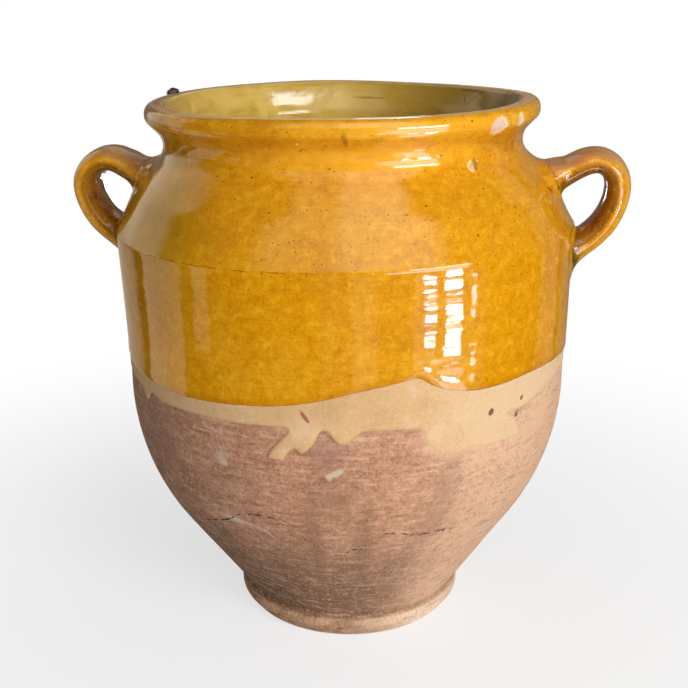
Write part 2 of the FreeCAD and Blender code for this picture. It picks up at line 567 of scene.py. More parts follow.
@dataclass
class CoatGrid:
    """A coat laid on a turned surface as a grid, then cut along the zero line of its outline field."""

    name: str
    profile: Profile
    thrown: HandThrown
    stations: Array
    columns: int
    inside: Field
    lift: Field
    thickness: float

    def build(self, settle: Settle | None = None) -> Piece:
        """Builds the coat.

        Args:
            settle: Moves the outer face's places before the pot's own warp, as round a handle root, and
                says how deep in the joint each lies.

        Returns:
            The coat as a closed shell, with attributes edge, joint and thrown_height.
        """
        bearing, along = np.meshgrid(np.arange(self.columns) * 360.0 / self.columns - 180.0, self.stations)
        height = self.profile.read(along)[1]
        level = self.inside(bearing, height, along)
        nodes, faces = self._cut(bearing, along, level)
        bearing, along, level = nodes.T
        true_height = self.profile.read(along)[1]
        lift = self.lift(bearing, true_height, level)
        radius, height = self.profile.read(along, lift)
        points = around(bearing, np.maximum(radius, 0.0), height)
        joint = np.zeros(len(points))
        if settle is not None:
            points, joint = settle(points)
        piece = mesh_piece(self.name, self.thrown.shape(points), faces)
        write_attribute(piece, "edge", level)
        write_attribute(piece, "joint", joint)
        write_attribute(piece, "thrown_height", true_height)
        edit_all(piece)
        bpy.ops.mesh.remove_doubles(threshold=0.25 * MM)
        bpy.ops.mesh.normals_make_consistent(inside=False)
        close_edit()
        self._face_outwards(piece)
        apply_modifier(piece, "SOLIDIFY", thickness=self.thickness * MM, offset=-1.0, use_even_offset=False)
        smooth_faces(piece, 38.0)
        return piece

    def _face_outwards(self, piece: Piece) -> None:
        """Turns the coat over if its faces look into the clay."""
        middle = piece.data.polygons[len(piece.data.polygons) // 2]
        gap = self.profile.distance(np.array([list((middle.center + middle.normal * MM) / MM)]))[0]
        level = self.profile.distance(np.array([list(middle.center / MM)]))[0]
        if gap[0] < level[0]:
            edit_all(piece)
            bpy.ops.mesh.flip_normals()
            close_edit()

    def _cut(self, bearing: Array, along: Array, level: Array) -> tuple[Array, list]:
        """Keeps the part of the grid where the field is above zero.

        Args:
            bearing: Bearing at each node, rows of stations by columns round the pot.
            along: Length along the profile at each node.
            level: The outline field at each node.

        Returns:
            Kept nodes as rows (bearing, along, level), and the faces between them.
        """
        rows, columns = level.shape
        index = np.arange(rows * columns).reshape(rows, columns)
        across = np.roll(index, -1, axis=1)
        quads = np.stack([index[:-1], across[:-1], across[1:], index[1:]], axis=-1).reshape(-1, 4)
        turn = np.zeros((rows - 1, columns))
        turn[:, -1] = 360.0
        wrap = np.stack([np.zeros_like(turn), turn, turn, np.zeros_like(turn)], axis=-1).reshape(-1, 4)
        flat = np.stack([bearing.ravel(), along.ravel(), level.ravel()], axis=1)
        kept = flat[:, 2] > 0.0
        inside_count = kept[quads].sum(axis=1)
        faces = quads[inside_count == 4].tolist()
        nodes = flat.tolist()
        crossings: dict[tuple[int, int], int] = {}
        crossed = (inside_count > 0) & (inside_count < 4)
        for quad, shift in zip(quads[crossed], wrap[crossed]):
            face = []
            for corner in range(4):
                here, there = int(quad[corner]), int(quad[(corner + 1) % 4])
                if kept[here]:
                    face.append(here)
                if kept[here] != kept[there]:
                    key = (min(here, there), max(here, there))
                    if key not in crossings:
                        start, end = flat[here].copy(), flat[there].copy()
                        start[0] += shift[corner]
                        end[0] += shift[(corner + 1) % 4]
                        share = start[2] / (start[2] - end[2])
                        crossings[key] = len(nodes)
                        nodes.append((start + (end - start) * share).tolist())
                    face.append(crossings[key])
            faces.append(face)
        used = np.unique(np.concatenate([np.array(face) for face in faces]))
        order = {int(old): new for new, old in enumerate(used)}
        return np.array(nodes)[used], [[order[corner] for corner in face] for face in faces]


class Root(Enum):
    """The two ends of a strap, each with its own way of being smeared on: blend above and below it."""

    SHOULDER = (17.0, 7.0)
    WALL = (7.0, 10.0)


@dataclass
class StrapHandle:
    """One pulled strap: an edge-on loop from the shoulder round down to the wall."""

    name: str
    mirror: float
    line: Sequence[Spot]
    form: PotForm
    thrown: HandThrown
    width: float = 32.0
    thickness: float = 14.0
    section_points: int = 36
    spacing: float = 2.4
    overlap: float = 4.0
    seed: int = 3

    def __post_init__(self) -> None:
        """Smooths the strap's middle line and works out its stations."""
        drawn = np.array(self.line)
        placed = np.stack([drawn[:, 0] * self.mirror, np.zeros(len(drawn)), drawn[:, 1]], axis=1)
        true = self.thrown.unshape(placed)
        points = np.stack([true[:, 0] * self.mirror, true[:, 2]], axis=1)
        chords = np.concatenate([[0.0], np.cumsum(np.sqrt(np.linalg.norm(np.diff(points, axis=0), axis=1)))])
        self.middle = self._spline(chords, points)

    def _spline(self, knots: Array, points: Array) -> Array:
        """Returns evenly spaced places on the natural cubic spline through the points."""
        count = len(knots)
        steps = np.diff(knots)
        system = np.eye(count)
        pull = np.zeros((count, 2))
        for i in range(1, count - 1):
            system[i, i - 1:i + 2] = steps[i - 1], 2.0 * (steps[i - 1] + steps[i]), steps[i]
            pull[i] = 6.0 * ((points[i + 1] - points[i]) / steps[i] - (points[i] - points[i - 1]) / steps[i - 1])
        curve = np.linalg.solve(system, pull)
        dense = []
        for i in range(count - 1):
            t = np.linspace(0.0, steps[i], 60)[:, None]
            left, right = (steps[i] - t), t
            dense.append(
                (curve[i] * left ** 3 + curve[i + 1] * right ** 3) / (6.0 * steps[i])
                + (points[i] / steps[i] - curve[i] * steps[i] / 6.0) * left
                + (points[i + 1] / steps[i] - curve[i + 1] * steps[i] / 6.0) * right
            )
        line = np.concatenate(dense)
        lengths = np.concatenate([[0.0], np.cumsum(np.linalg.norm(np.diff(line, axis=0), axis=1))])
        places = np.linspace(0.0, lengths[-1], int(lengths[-1] / self.spacing) + 1)
        return np.stack([np.interp(places, lengths, line[:, 0]), np.interp(places, lengths, line[:, 1])], axis=1)

    def build(self, outside: Profile) -> Piece:
        """Builds the strap, smeared onto the turned surface at both ends.

        Args:
            outside: The pot's outer profile.

        Returns:
            The strap as a closed mesh, with attributes strap_along, strap_across, strap_outward and joint.
        """
        piece = self._extrude()
        apply_modifier(piece, "SUBSURF", levels=1, render_levels=1)
        points = read_points(piece)
        along, across, outward = self._local(points)
        write_attribute(piece, "strap_along", along)
        write_attribute(piece, "strap_across", across)
        write_attribute(piece, "strap_outward", outward)
        points = self._finger_marks(points, along)
        self.true_tree = self._tree(piece, points)
        blended, joint = self._smear(points, outside)
        write_attribute(piece, "joint", joint)
        write_attribute(piece, "thrown_height", blended[:, 2])
        write_points(piece, self.thrown.shape(blended))
        smooth_faces(piece, 60.0)
        return piece

    def _extrude(self) -> Piece:
        """Pulls the section along the middle line, ring by ring, and closes both ends."""
        directions = np.gradient(self.middle, axis=0)
        turns = np.unwrap(np.arctan2(directions[:, 1], directions[:, 0]))
        first = self.middle[0]
        deselect_all()
        bpy.ops.mesh.primitive_circle_add(
            vertices=self.section_points, radius=MM, fill_type="NGON",
            location=(first[0] * MM, 0.0, first[1] * MM),
            rotation=(0.0, math.pi / 2.0 - turns[0], 0.0),
        )
        piece = take_new(self.name)
        bpy.ops.object.transform_apply(location=True, rotation=True, scale=True)
        self._shape_section(piece, turns[0])
        edit_all(piece)
        for here, there, turn, new_turn in zip(self.middle, self.middle[1:], turns, turns[1:]):
            bpy.ops.mesh.extrude_region_move(
                TRANSFORM_OT_translate={"value": ((there[0] - here[0]) * MM, 0.0, (there[1] - here[1]) * MM)}
            )
            bpy.ops.transform.rotate(
                value=new_turn - turn, orient_axis="Y", orient_type="GLOBAL",
                center_override=(there[0] * MM, 0.0, there[1] * MM),
            )
        bpy.ops.mesh.select_all(action="SELECT")
        bpy.ops.mesh.normals_make_consistent(inside=False)
        close_edit()
        if self.mirror < 0:
            points = read_points(piece)
            write_points(piece, points * (-1.0, -1.0, 1.0))
        return piece

    def _shape_section(self, piece: Piece, turn: float) -> None:
        """Moves the first ring's points onto the strap's section, rounded in front and flatter behind."""
        points = read_points(piece)
        centre = np.array([self.middle[0][0], 0.0, self.middle[0][1]])
        outward = np.array([-math.sin(turn), 0.0, math.cos(turn)])
        angle = np.arctan2((points - centre) @ outward, points[:, 1])
        width = np.sign(np.cos(angle)) * np.abs(np.cos(angle)) ** 0.88 * self.width / 2.0
        flatness = np.where(np.sin(angle) > 0.0, 1.0, 0.72)
        depth = np.sign(np.sin(angle)) * np.abs(np.sin(angle)) ** flatness * self.thickness / 2.0
        write_points(piece, centre + width[:, None] * (0.0, 1.0, 0.0) + depth[:, None] * outward)

    def _nearest(self, points: Array) -> tuple[Array, Array]:
        """Finds the middle line's nearest spot to each place: its number, and the step from it."""
        flat = np.stack([points[:, 0] * self.mirror, points[:, 2]], axis=1)
        gap = flat[:, None, :] - self.middle[None, :, :]
        nearest = np.argmin((gap ** 2).sum(axis=2), axis=1)
        return nearest, gap[np.arange(len(nearest)), nearest]

    def _local(self, points: Array) -> tuple[Array, Array, Array]:
        """Reads places in the strap's own terms: share along it, distance across it and distance outward."""
        nearest, best = self._nearest(points)
        directions = np.gradient(self.middle, axis=0)
        directions /= np.linalg.norm(directions, axis=1)[:, None]
        normal = np.stack([-directions[:, 1], directions[:, 0]], axis=1)
        outward = (best * normal[nearest]).sum(axis=1)
        return nearest / (len(self.middle) - 1.0), points[:, 1] * self.mirror, outward

    def _finger_marks(self, points: Array, along: Array) -> Array:
        """Lets the pulled strap swell and pinch a little, as fingers leave it."""
        swell = 0.22 * ripple(points, 30.0, self.seed) + 0.03 * ripple(points, 9.0, self.seed + 1)
        nearest, _ = self._nearest(points)
        centre = self.middle[nearest]
        spine = np.stack([centre[:, 0] * self.mirror, points[:, 1] * 0.55, centre[:, 1]], axis=1)
        away = points - spine
        away /= np.maximum(np.linalg.norm(away, axis=1), 1e-6)[:, None]
        return points + away * swell[:, None]

    @staticmethod
    def _tree(piece: Piece, points: Array) -> BVHTree:
        """Returns a search tree of the strap before it was smeared on."""
        return BVHTree.FromPolygons(points.tolist(), [list(face.vertices) for face in piece.data.polygons])

    def blend_width(self, points: Array, strap_normal: Array) -> Array:
        """Gives how widely clay was smeared at each place: wide over the shoulder root, narrow under it."""
        up = smooth_step(strap_normal[:, 2], -0.5, 0.55)
        high = smooth_step(points[:, 2], self.form.crease_height - 4.0, self.form.crease_height + 12.0)
        shoulder = Root.SHOULDER.value[1] + (Root.SHOULDER.value[0] - Root.SHOULDER.value[1]) * up
        wall = Root.WALL.value[1] + (Root.WALL.value[0] - Root.WALL.value[1]) * up
        return (wall + (shoulder - wall) * high) * (1.0 + 0.16 * ripple(points, 17.0, self.seed + 2))

    def reach(self, points: Array) -> tuple[Array, Array]:
        """Measures the distance from places to the strap, below 0 inside it, and its outward direction."""
        distances = np.empty(len(points))
        normals = np.empty((len(points), 3))
        for row, point in enumerate(points):
            spot, normal, _, gap = self.true_tree.find_nearest(Vector(point))
            side = Vector(point) - spot
            distances[row] = gap if side.dot(normal) >= 0.0 else -gap
            normals[row] = normal
        return distances, normals

    def _joined(self, points: Array, outside: Profile) -> tuple[Array, Array]:
        """Measures places against pot and strap as one, with clay smeared into the angle between the two.

        Args:
            points: Places, one per row.
            outside: The pot's outer profile.

        Returns:
            The distance to the joined skin, and the step away from it per millimetre.
        """
        gap, normal = self.reach(points)
        level, outward = outside.distance(points)
        width = self.blend_width(points, normal)
        share = np.clip(1.0 - np.abs(level - gap) / width, 0.0, 1.0)
        weight = np.where(level < gap, 1.0 - share / 2.0, share / 2.0)[:, None]
        direction = outward * weight + normal * (1.0 - weight)
        size = np.maximum((direction ** 2).sum(axis=1), 0.3)
        return np.minimum(level, gap) - width / 4.0 * share ** 2, direction / size[:, None]

    @staticmethod
    def _tuck(covered: Array) -> Array:
        """Gives how far a skin draws in where the other one covers it, gently at first."""
        return (0.05 * covered + 0.03 * covered ** 2)[:, None]

    def _settled(self, points: Array, outside: Profile) -> Array:
        """Moves places onto the joined skin by a few short steps."""
        moved = points.copy()
        for _ in range(4):
            distance, step = self._joined(moved, outside)
            moved -= step * np.clip(distance, -3.0, 3.0)[:, None]
        return moved

    def _smear(self, points: Array, outside: Profile) -> tuple[Array, Array]:
        """Lays the strap's ends onto the joined skin, and ends them in the wall.

        Args:
            points: The strap's places.
            outside: The pot's outer profile.

        Returns:
            The moved places, and how deep in the joint each lies.
        """
        level = outside.distance(points)[0]
        _, normal = self.reach(points)
        moved = points.copy()
        near = np.flatnonzero((level > -self.overlap) & (level < 24.0))
        tucked = np.clip(-level[near], 0.0, self.overlap)
        lifted = self._settled(points[near] + normal[near] * tucked[:, None], outside)
        outward = outside.distance(lifted)[1]
        moved[near] = lifted - outward * self._tuck(tucked)
        level_now, outward = outside.distance(moved)
        deepest = 0.55 * self.form.wall
        deep = level_now < -deepest
        moved[deep] += outward[deep] * (-deepest - level_now[deep])[:, None]
        return moved, np.clip(1.0 - np.abs(level) / 6.0, 0.0, 1.0)

    def settle(self, points: Array, outside: Profile) -> tuple[Array, Array]:
        """Lays the pot's skin near the strap onto the same joined skin, and tucks it away inside the strap.

        Args:
            points: Places on the pot's outer face.
            outside: The pot's outer profile.

        Returns:
            The moved places, and how deep in the joint each lies.
        """
        widest = Root.SHOULDER.value[0] * 1.2
        side = points[:, 0] * self.mirror
        close = np.abs(points[:, 1]) < self.width / 2.0 + widest
        close &= side > 60.0
        close &= (points[:, 2] > self.middle[:, 1].min() - 30.0) & (points[:, 2] < self.middle[:, 1].max() + 10.0)
        rows = np.flatnonzero(close)
        here = points[rows]
        gap, _ = self.reach(here)
        level, outward = outside.distance(here)
        tucked = np.clip(-gap, 0.0, self.overlap)
        shown = gap > -self.overlap
        lifted = self._settled(here + outward * tucked[:, None], outside)
        _, normal = self.reach(lifted)
        lifted -= normal * self._tuck(tucked)
        lifted += outward * (level * smooth_step(gap, 0.0, 6.0))[:, None]
        moved, joint = points.copy(), np.zeros(len(points))
        moved[rows[shown]] = lifted[shown]
        moved[rows[~shown]] -= outward[~shown] * 0.6
        joint[rows] = np.clip(1.0 - np.abs(gap) / 6.0, 0.0, 1.0)
        return moved, joint


def srgb(red: int, green: int, blue: int) -> tuple[float, float, float, float]:
    """Turns a colour as seen on a screen, 0 to 255, into the linear values that shaders take."""
    shares = [value / 255.0 for value in (red, green, blue)]
    linear = [s / 12.92 if s <= 0.04045 else ((s + 0.055) / 1.055) ** 2.4 for s in shares]
    return (*linear, 1.0)


Value = float | tuple | Socket
Patch = tuple[str, float, tuple[float, ...]]
Layer = tuple[str, float, float, float]


class NodeBench:
    """Places and joins the nodes of one material or group."""

    def __init__(self, tree: Tree) -> None:
        """Takes the tree to work in and empties it."""
        self.tree = tree
        tree.nodes.clear()

    def node(self, kind: str, **settings: object) -> bpy.types.Node:
        """Adds a node of a kind with its settings."""
        made = self.tree.nodes.new("ShaderNode" + kind)
        for key, value in settings.items():
            setattr(made, key, value)
        return made

    def feed(self, socket: Socket, value: Value) -> None:
        """Links a socket to another, or sets its number or colour."""
        if isinstance(value, Socket):
            self.tree.links.new(value, socket)
        else:
            socket.default_value = value

    def math(self, operation: str, first: Value, second: Value = 0.0, third: Value = 0.0) -> Socket:
        """Returns the result of a math node."""
        made = self.node("Math", operation=operation)
        for socket, value in zip(made.inputs, (first, second, third)):
            self.feed(socket, value)
        return made.outputs[0]

    def times(self, first: Value, second: Value) -> Socket:
        """Returns two values multiplied."""
        return self.math("MULTIPLY", first, second)

    def ramp(self, value: Value, low: float, high: float, to_low: float = 0.0,
             to_high: float = 1.0) -> Socket:
        """Returns a smooth ramp of a value, from to_low at low to to_high at high."""
        made = self.node("MapRange", interpolation_type="SMOOTHSTEP")
        for socket, number in zip(made.inputs, (value, low, high, to_low, to_high)):
            self.feed(socket, number)
        return made.outputs["Result"]

    def mix(self, first: Value, second: Value, share: Value) -> Socket:
        """Returns one colour mixed into another by a share."""
        made = self.node("Mix", data_type="RGBA")
        self.feed(made.inputs["Factor"], share)
        self.feed(made.inputs["A"], first)
        self.feed(made.inputs["B"], second)
        return made.outputs["Result"]

    def attribute(self, name: str) -> Socket:
        """Returns a number that was kept on the mesh."""
        return self.node("Attribute", attribute_name=name).outputs["Fac"]

    def on_piece(self) -> Socket:
        """Returns the place on the piece in millimetres."""
        return self.scaled(self.node("TexCoord").outputs["Object"], (1.0 / MM,) * 3)

    def scaled(self, vector: Value, factors: tuple[float, float, float]) -> Socket:
        """Returns a vector multiplied along each axis."""
        made = self.node("VectorMath", operation="MULTIPLY")
        self.feed(made.inputs[0], vector)
        self.feed(made.inputs[1], factors)
        return made.outputs[0]

    def noise(self, vector: Value, size: float, detail: float = 3.0, rough: float = 0.55,
              bend: float = 0.0) -> Socket:
        """Returns noise of a size in millimetres, about 0 to 1."""
        made = self.node("TexNoise")
        self.feed(made.inputs["Vector"], vector)
        for name, value in (("Scale", 1.0 / size), ("Detail", detail), ("Roughness", rough), ("Distortion", bend)):
            made.inputs[name].default_value = value
        return made.outputs["Fac"]

    def group(self, tree: Tree, **values: Value) -> bpy.types.Node:
        """Places a group. Its inputs are named with underscores for spaces."""
        made = self.node("Group", node_tree=tree)
        for name, value in values.items():
            self.feed(made.inputs[name.replace("_", " ").capitalize()], value)
        return made

    def curve(self, value: Value, points: Sequence[Spot]) -> Socket:
        """Returns a value read off a smooth curve through points."""
        xs = [x for x, _ in points]
        ys = [y for _, y in points]
        made = self.node("FloatCurve")
        line = made.mapping.curves[0]
        span_x, span_y = max(xs) - min(xs), max(max(ys) - min(ys), 1e-6)
        for number, (x, y) in enumerate(points):
            place = ((x - min(xs)) / span_x, (y - min(ys)) / span_y)
            if number in (0, len(points) - 1):
                line.points[0 if number == 0 else -1].location = place
            else:
                line.points.new(*place)
        made.mapping.update()
        share = self.math("DIVIDE", self.math("SUBTRACT", value, min(xs)), span_x)
        self.feed(made.inputs["Value"], share)
        return self.math("MULTIPLY_ADD", made.outputs[0], span_y, min(ys))


def new_group(name: str, inputs: dict[str, float],
              outputs: dict[str, str]) -> tuple[NodeBench, bpy.types.Node, bpy.types.Node]:
    """Makes an empty node group.

    Args:
        name: The group's name.
        inputs: Names and starting values of its number inputs.
        outputs: Names of its outputs with their kinds, Float, Vector or Color.

    Returns:
        A bench for the group's tree, its input node and its output node.
    """
    tree = bpy.data.node_groups.new(name, "ShaderNodeTree")
    for key, value in inputs.items():
        tree.interface.new_socket(key, in_out="INPUT", socket_type="NodeSocketFloat").default_value = value
    for key, kind in outputs.items():
        tree.interface.new_socket(key, in_out="OUTPUT", socket_type="NodeSocket" + kind)
    bench = NodeBench(tree)
    return bench, tree.nodes.new("NodeGroupInput"), tree.nodes.new("NodeGroupOutput")


def new_material(name: str) -> tuple[bpy.types.Material, NodeBench]:
    """Makes an empty material and a bench for its nodes."""
    material = bpy.data.materials.new(name)
    material.use_nodes = True
    return material, NodeBench(material.node_tree)


@dataclass
class Effects:
    """Node groups that several finishes share, each built once."""

    place: Tree = field(init=False)
    patch: Tree = field(init=False)
    specks: Tree = field(init=False)
    turning: Tree = field(init=False)

    def __post_init__(self) -> None:
        """Builds the groups, those that others use first."""
        self.place = self._place()
        self.patch = self._patch()
        self.specks = self._specks()
        self.turning = self._turning()

    @staticmethod
    def _place() -> Tree:
        """Builds the group that says where a point lies: in space, by bearing and by thrown height."""
        bench, _, out = new_group("place_on_pot", {}, {
            "Place": "Vector", "Bearing": "Float", "Height": "Float", "Unrolled": "Vector",
        })
        place = bench.on_piece()
        split = bench.node("SeparateXYZ")
        bench.feed(split.inputs[0], place)
        turn = bench.math("ARCTAN2", split.outputs["X"], bench.times(split.outputs["Y"], -1.0))
        bearing = bench.math("DEGREES", turn)
        height = bench.attribute("thrown_height")
        unrolled = bench.node("CombineXYZ")
        bench.feed(unrolled.inputs["X"], bench.times(bench.math("SINE", turn), GIRTH_RADIUS))
        bench.feed(unrolled.inputs["Y"], bench.times(bench.math("COSINE", turn), GIRTH_RADIUS))
        bench.feed(unrolled.inputs["Z"], height)
        bench.feed(out.inputs["Place"], place)
        bench.feed(out.inputs["Bearing"], bearing)
        bench.feed(out.inputs["Height"], height)
        bench.feed(out.inputs["Unrolled"], unrolled.outputs[0])
        return bench.tree

    def _patch(self) -> Tree:
        """Builds the group that masks one ragged oval patch on the pot."""
        inputs = {
            "Bearing": 0.0, "Height": 0.0, "Width": 10.0, "Tall": 10.0,
            "Tilt": 0.0, "Softness": 0.2, "Ragged": 0.2, "Grain": 6.0,
        }
        bench, given, out = new_group("ragged_patch", inputs, {"Mask": "Float"})
        place = bench.group(self.place)
        ask = given.outputs
        step = bench.math("SUBTRACT", place.outputs["Bearing"], ask["Bearing"])
        step = bench.math("WRAP", step, 180.0, -180.0)
        side = bench.times(step, DEGREE_LENGTH)
        rise = bench.math("SUBTRACT", place.outputs["Height"], ask["Height"])
        tilt = bench.math("RADIANS", ask["Tilt"])
        cosine, sine = bench.math("COSINE", tilt), bench.math("SINE", tilt)
        long_way = bench.math("ADD", bench.times(side, cosine), bench.times(rise, sine))
        short_way = bench.math("SUBTRACT", bench.times(rise, cosine), bench.times(side, sine))
        long_way = bench.math("DIVIDE", long_way, ask["Width"])
        short_way = bench.math("DIVIDE", short_way, ask["Tall"])
        square = bench.math("ADD", bench.times(long_way, long_way), bench.times(short_way, short_way))
        reach = bench.math("SQRT", square)
        noise = bench.node("TexNoise")
        bench.feed(noise.inputs["Vector"], place.outputs["Unrolled"])
        bench.feed(noise.inputs["Scale"], bench.math("DIVIDE", 1.0, ask["Grain"]))
        noise.inputs["Detail"].default_value = 4.0
        wobble = bench.times(bench.math("SUBTRACT", noise.outputs["Fac"], 0.5), ask["Ragged"])
        reach = bench.math("ADD", reach, bench.times(wobble, 3.0))
        fade = bench.node("MapRange", interpolation_type="SMOOTHSTEP")
        bench.feed(fade.inputs["Value"], reach)
        bench.feed(fade.inputs["From Min"], bench.math("ADD", 1.0, ask["Softness"]))
        bench.feed(fade.inputs["From Max"], bench.math("SUBTRACT", 1.0, ask["Softness"]))
        bench.feed(out.inputs["Mask"], fade.outputs["Result"])
        return bench.tree

    @staticmethod
    def _specks() -> Tree:
        """Builds the group that scatters specks of uneven size."""
        bench, given, out = new_group("scattered_specks", {"Spacing": 5.0, "Size": 0.5, "Share": 0.5}, {"Mask": "Float"})
        place = bench.on_piece()
        cells = bench.node("TexVoronoi", feature="F1")
        bench.feed(cells.inputs["Vector"], place)
        bench.feed(cells.inputs["Scale"], bench.math("DIVIDE", 1.0, given.outputs["Spacing"]))
        chance = bench.node("SeparateColor")
        bench.feed(chance.inputs[0], cells.outputs["Color"])
        reach = bench.times(cells.outputs["Distance"], given.outputs["Spacing"])
        size = bench.times(given.outputs["Size"], bench.math("ADD", 0.4, chance.outputs["Green"]))
        speck = bench.math("SUBTRACT", 1.0, bench.math("DIVIDE", reach, size))
        speck = bench.ramp(speck, 0.0, 0.5)
        shown = bench.math("LESS_THAN", chance.outputs["Red"], given.outputs["Share"])
        bench.feed(out.inputs["Mask"], bench.times(speck, shown))
        return bench.tree

    def _turning(self) -> Tree:
        """Builds the group of fine lines that run round the pot, as a throwing rib leaves them."""
        bench, given, out = new_group("turning_lines", {"Spacing": 2.0, "Breaks": 0.04}, {"Lines": "Float"})
        place = bench.group(self.place)
        stretch = bench.node("CombineXYZ")
        bench.feed(stretch.inputs["X"], given.outputs["Breaks"])
        bench.feed(stretch.inputs["Y"], given.outputs["Breaks"])
        bench.feed(stretch.inputs["Z"], 1.0)
        squeezed = bench.node("VectorMath", operation="MULTIPLY")
        bench.feed(squeezed.inputs[0], place.outputs["Unrolled"])
        bench.feed(squeezed.inputs[1], stretch.outputs[0])
        noise = bench.node("TexNoise")
        bench.feed(noise.inputs["Vector"], squeezed.outputs[0])
        bench.feed(noise.inputs["Scale"], bench.math("DIVIDE", 1.0, given.outputs["Spacing"]))
        noise.inputs["Detail"].default_value = 5.0
        noise.inputs["Roughness"].default_value = 0.62
        bench.feed(out.inputs["Lines"], noise.outputs["Fac"])
        return bench.tree


class Finish:
    """A surface finish: a material with one Principled shader, dressed by its subclass."""

    name = "finish"
    roughness = 0.5

    def __init__(self, effects: Effects) -> None:
        """Takes the shared effects."""
        self.effects = effects

    def make(self) -> bpy.types.Material:
        """Returns the finished material."""
        material, bench = new_material(self.name)
        shader = bench.node("BsdfPrincipled")
        bench.feed(bench.node("OutputMaterial").inputs["Surface"], shader.outputs[0])
        shader.inputs["Roughness"].default_value = self.roughness
        self.dress(bench, shader)
        return material

    def dress(self, bench: NodeBench, shader: bpy.types.Node) -> None:
        """Feeds the shader. Each finish has its own."""
        raise NotImplementedError

    def spot(self, bench: NodeBench, bearing: float, height: float, width: float, tall: float, tilt: float = 0.0,
             softness: float = 0.2, ragged: float = 0.2, grain: float = 6.0) -> Socket:
        """Returns the mask of one ragged patch, its width and height given in millimetres from its middle."""
        placed = bench.group(
            self.effects.patch, bearing=bearing, height=height, width=width, tall=tall,
            tilt=tilt, softness=softness, ragged=ragged, grain=grain,
        )
        return placed.outputs["Mask"]

    def patched(self, bench: NodeBench, colour: Value, patches: Sequence[Patch]) -> Socket:
        """Returns a colour with ragged patches of the finish's other colours laid over it in turn."""
        for tone, strength, shape in patches:
            colour = bench.mix(colour, getattr(self, tone), bench.times(self.spot(bench, *shape), strength))
        return colour

    def mottled(self, bench: NodeBench, colour: Value, grain: Value, *layers: Layer) -> Socket:
        """Returns a colour with others laid over it where a grain runs from low to high, up to a share."""
        for tone, low, high, share in layers:
            colour = bench.mix(colour, getattr(self, tone), bench.ramp(grain, low, high, 0.0, share))
        return colour

    def bumped(self, bench: NodeBench, shader: bpy.types.Node, height: Value) -> None:
        """Feeds the shader's normal from a relief in millimetres."""
        bump = bench.node("Bump")
        bump.inputs["Strength"].default_value = 1.0
        bump.inputs["Distance"].default_value = MM
        bench.feed(bump.inputs["Height"], height)
        bench.feed(shader.inputs["Normal"], bump.outputs[0])


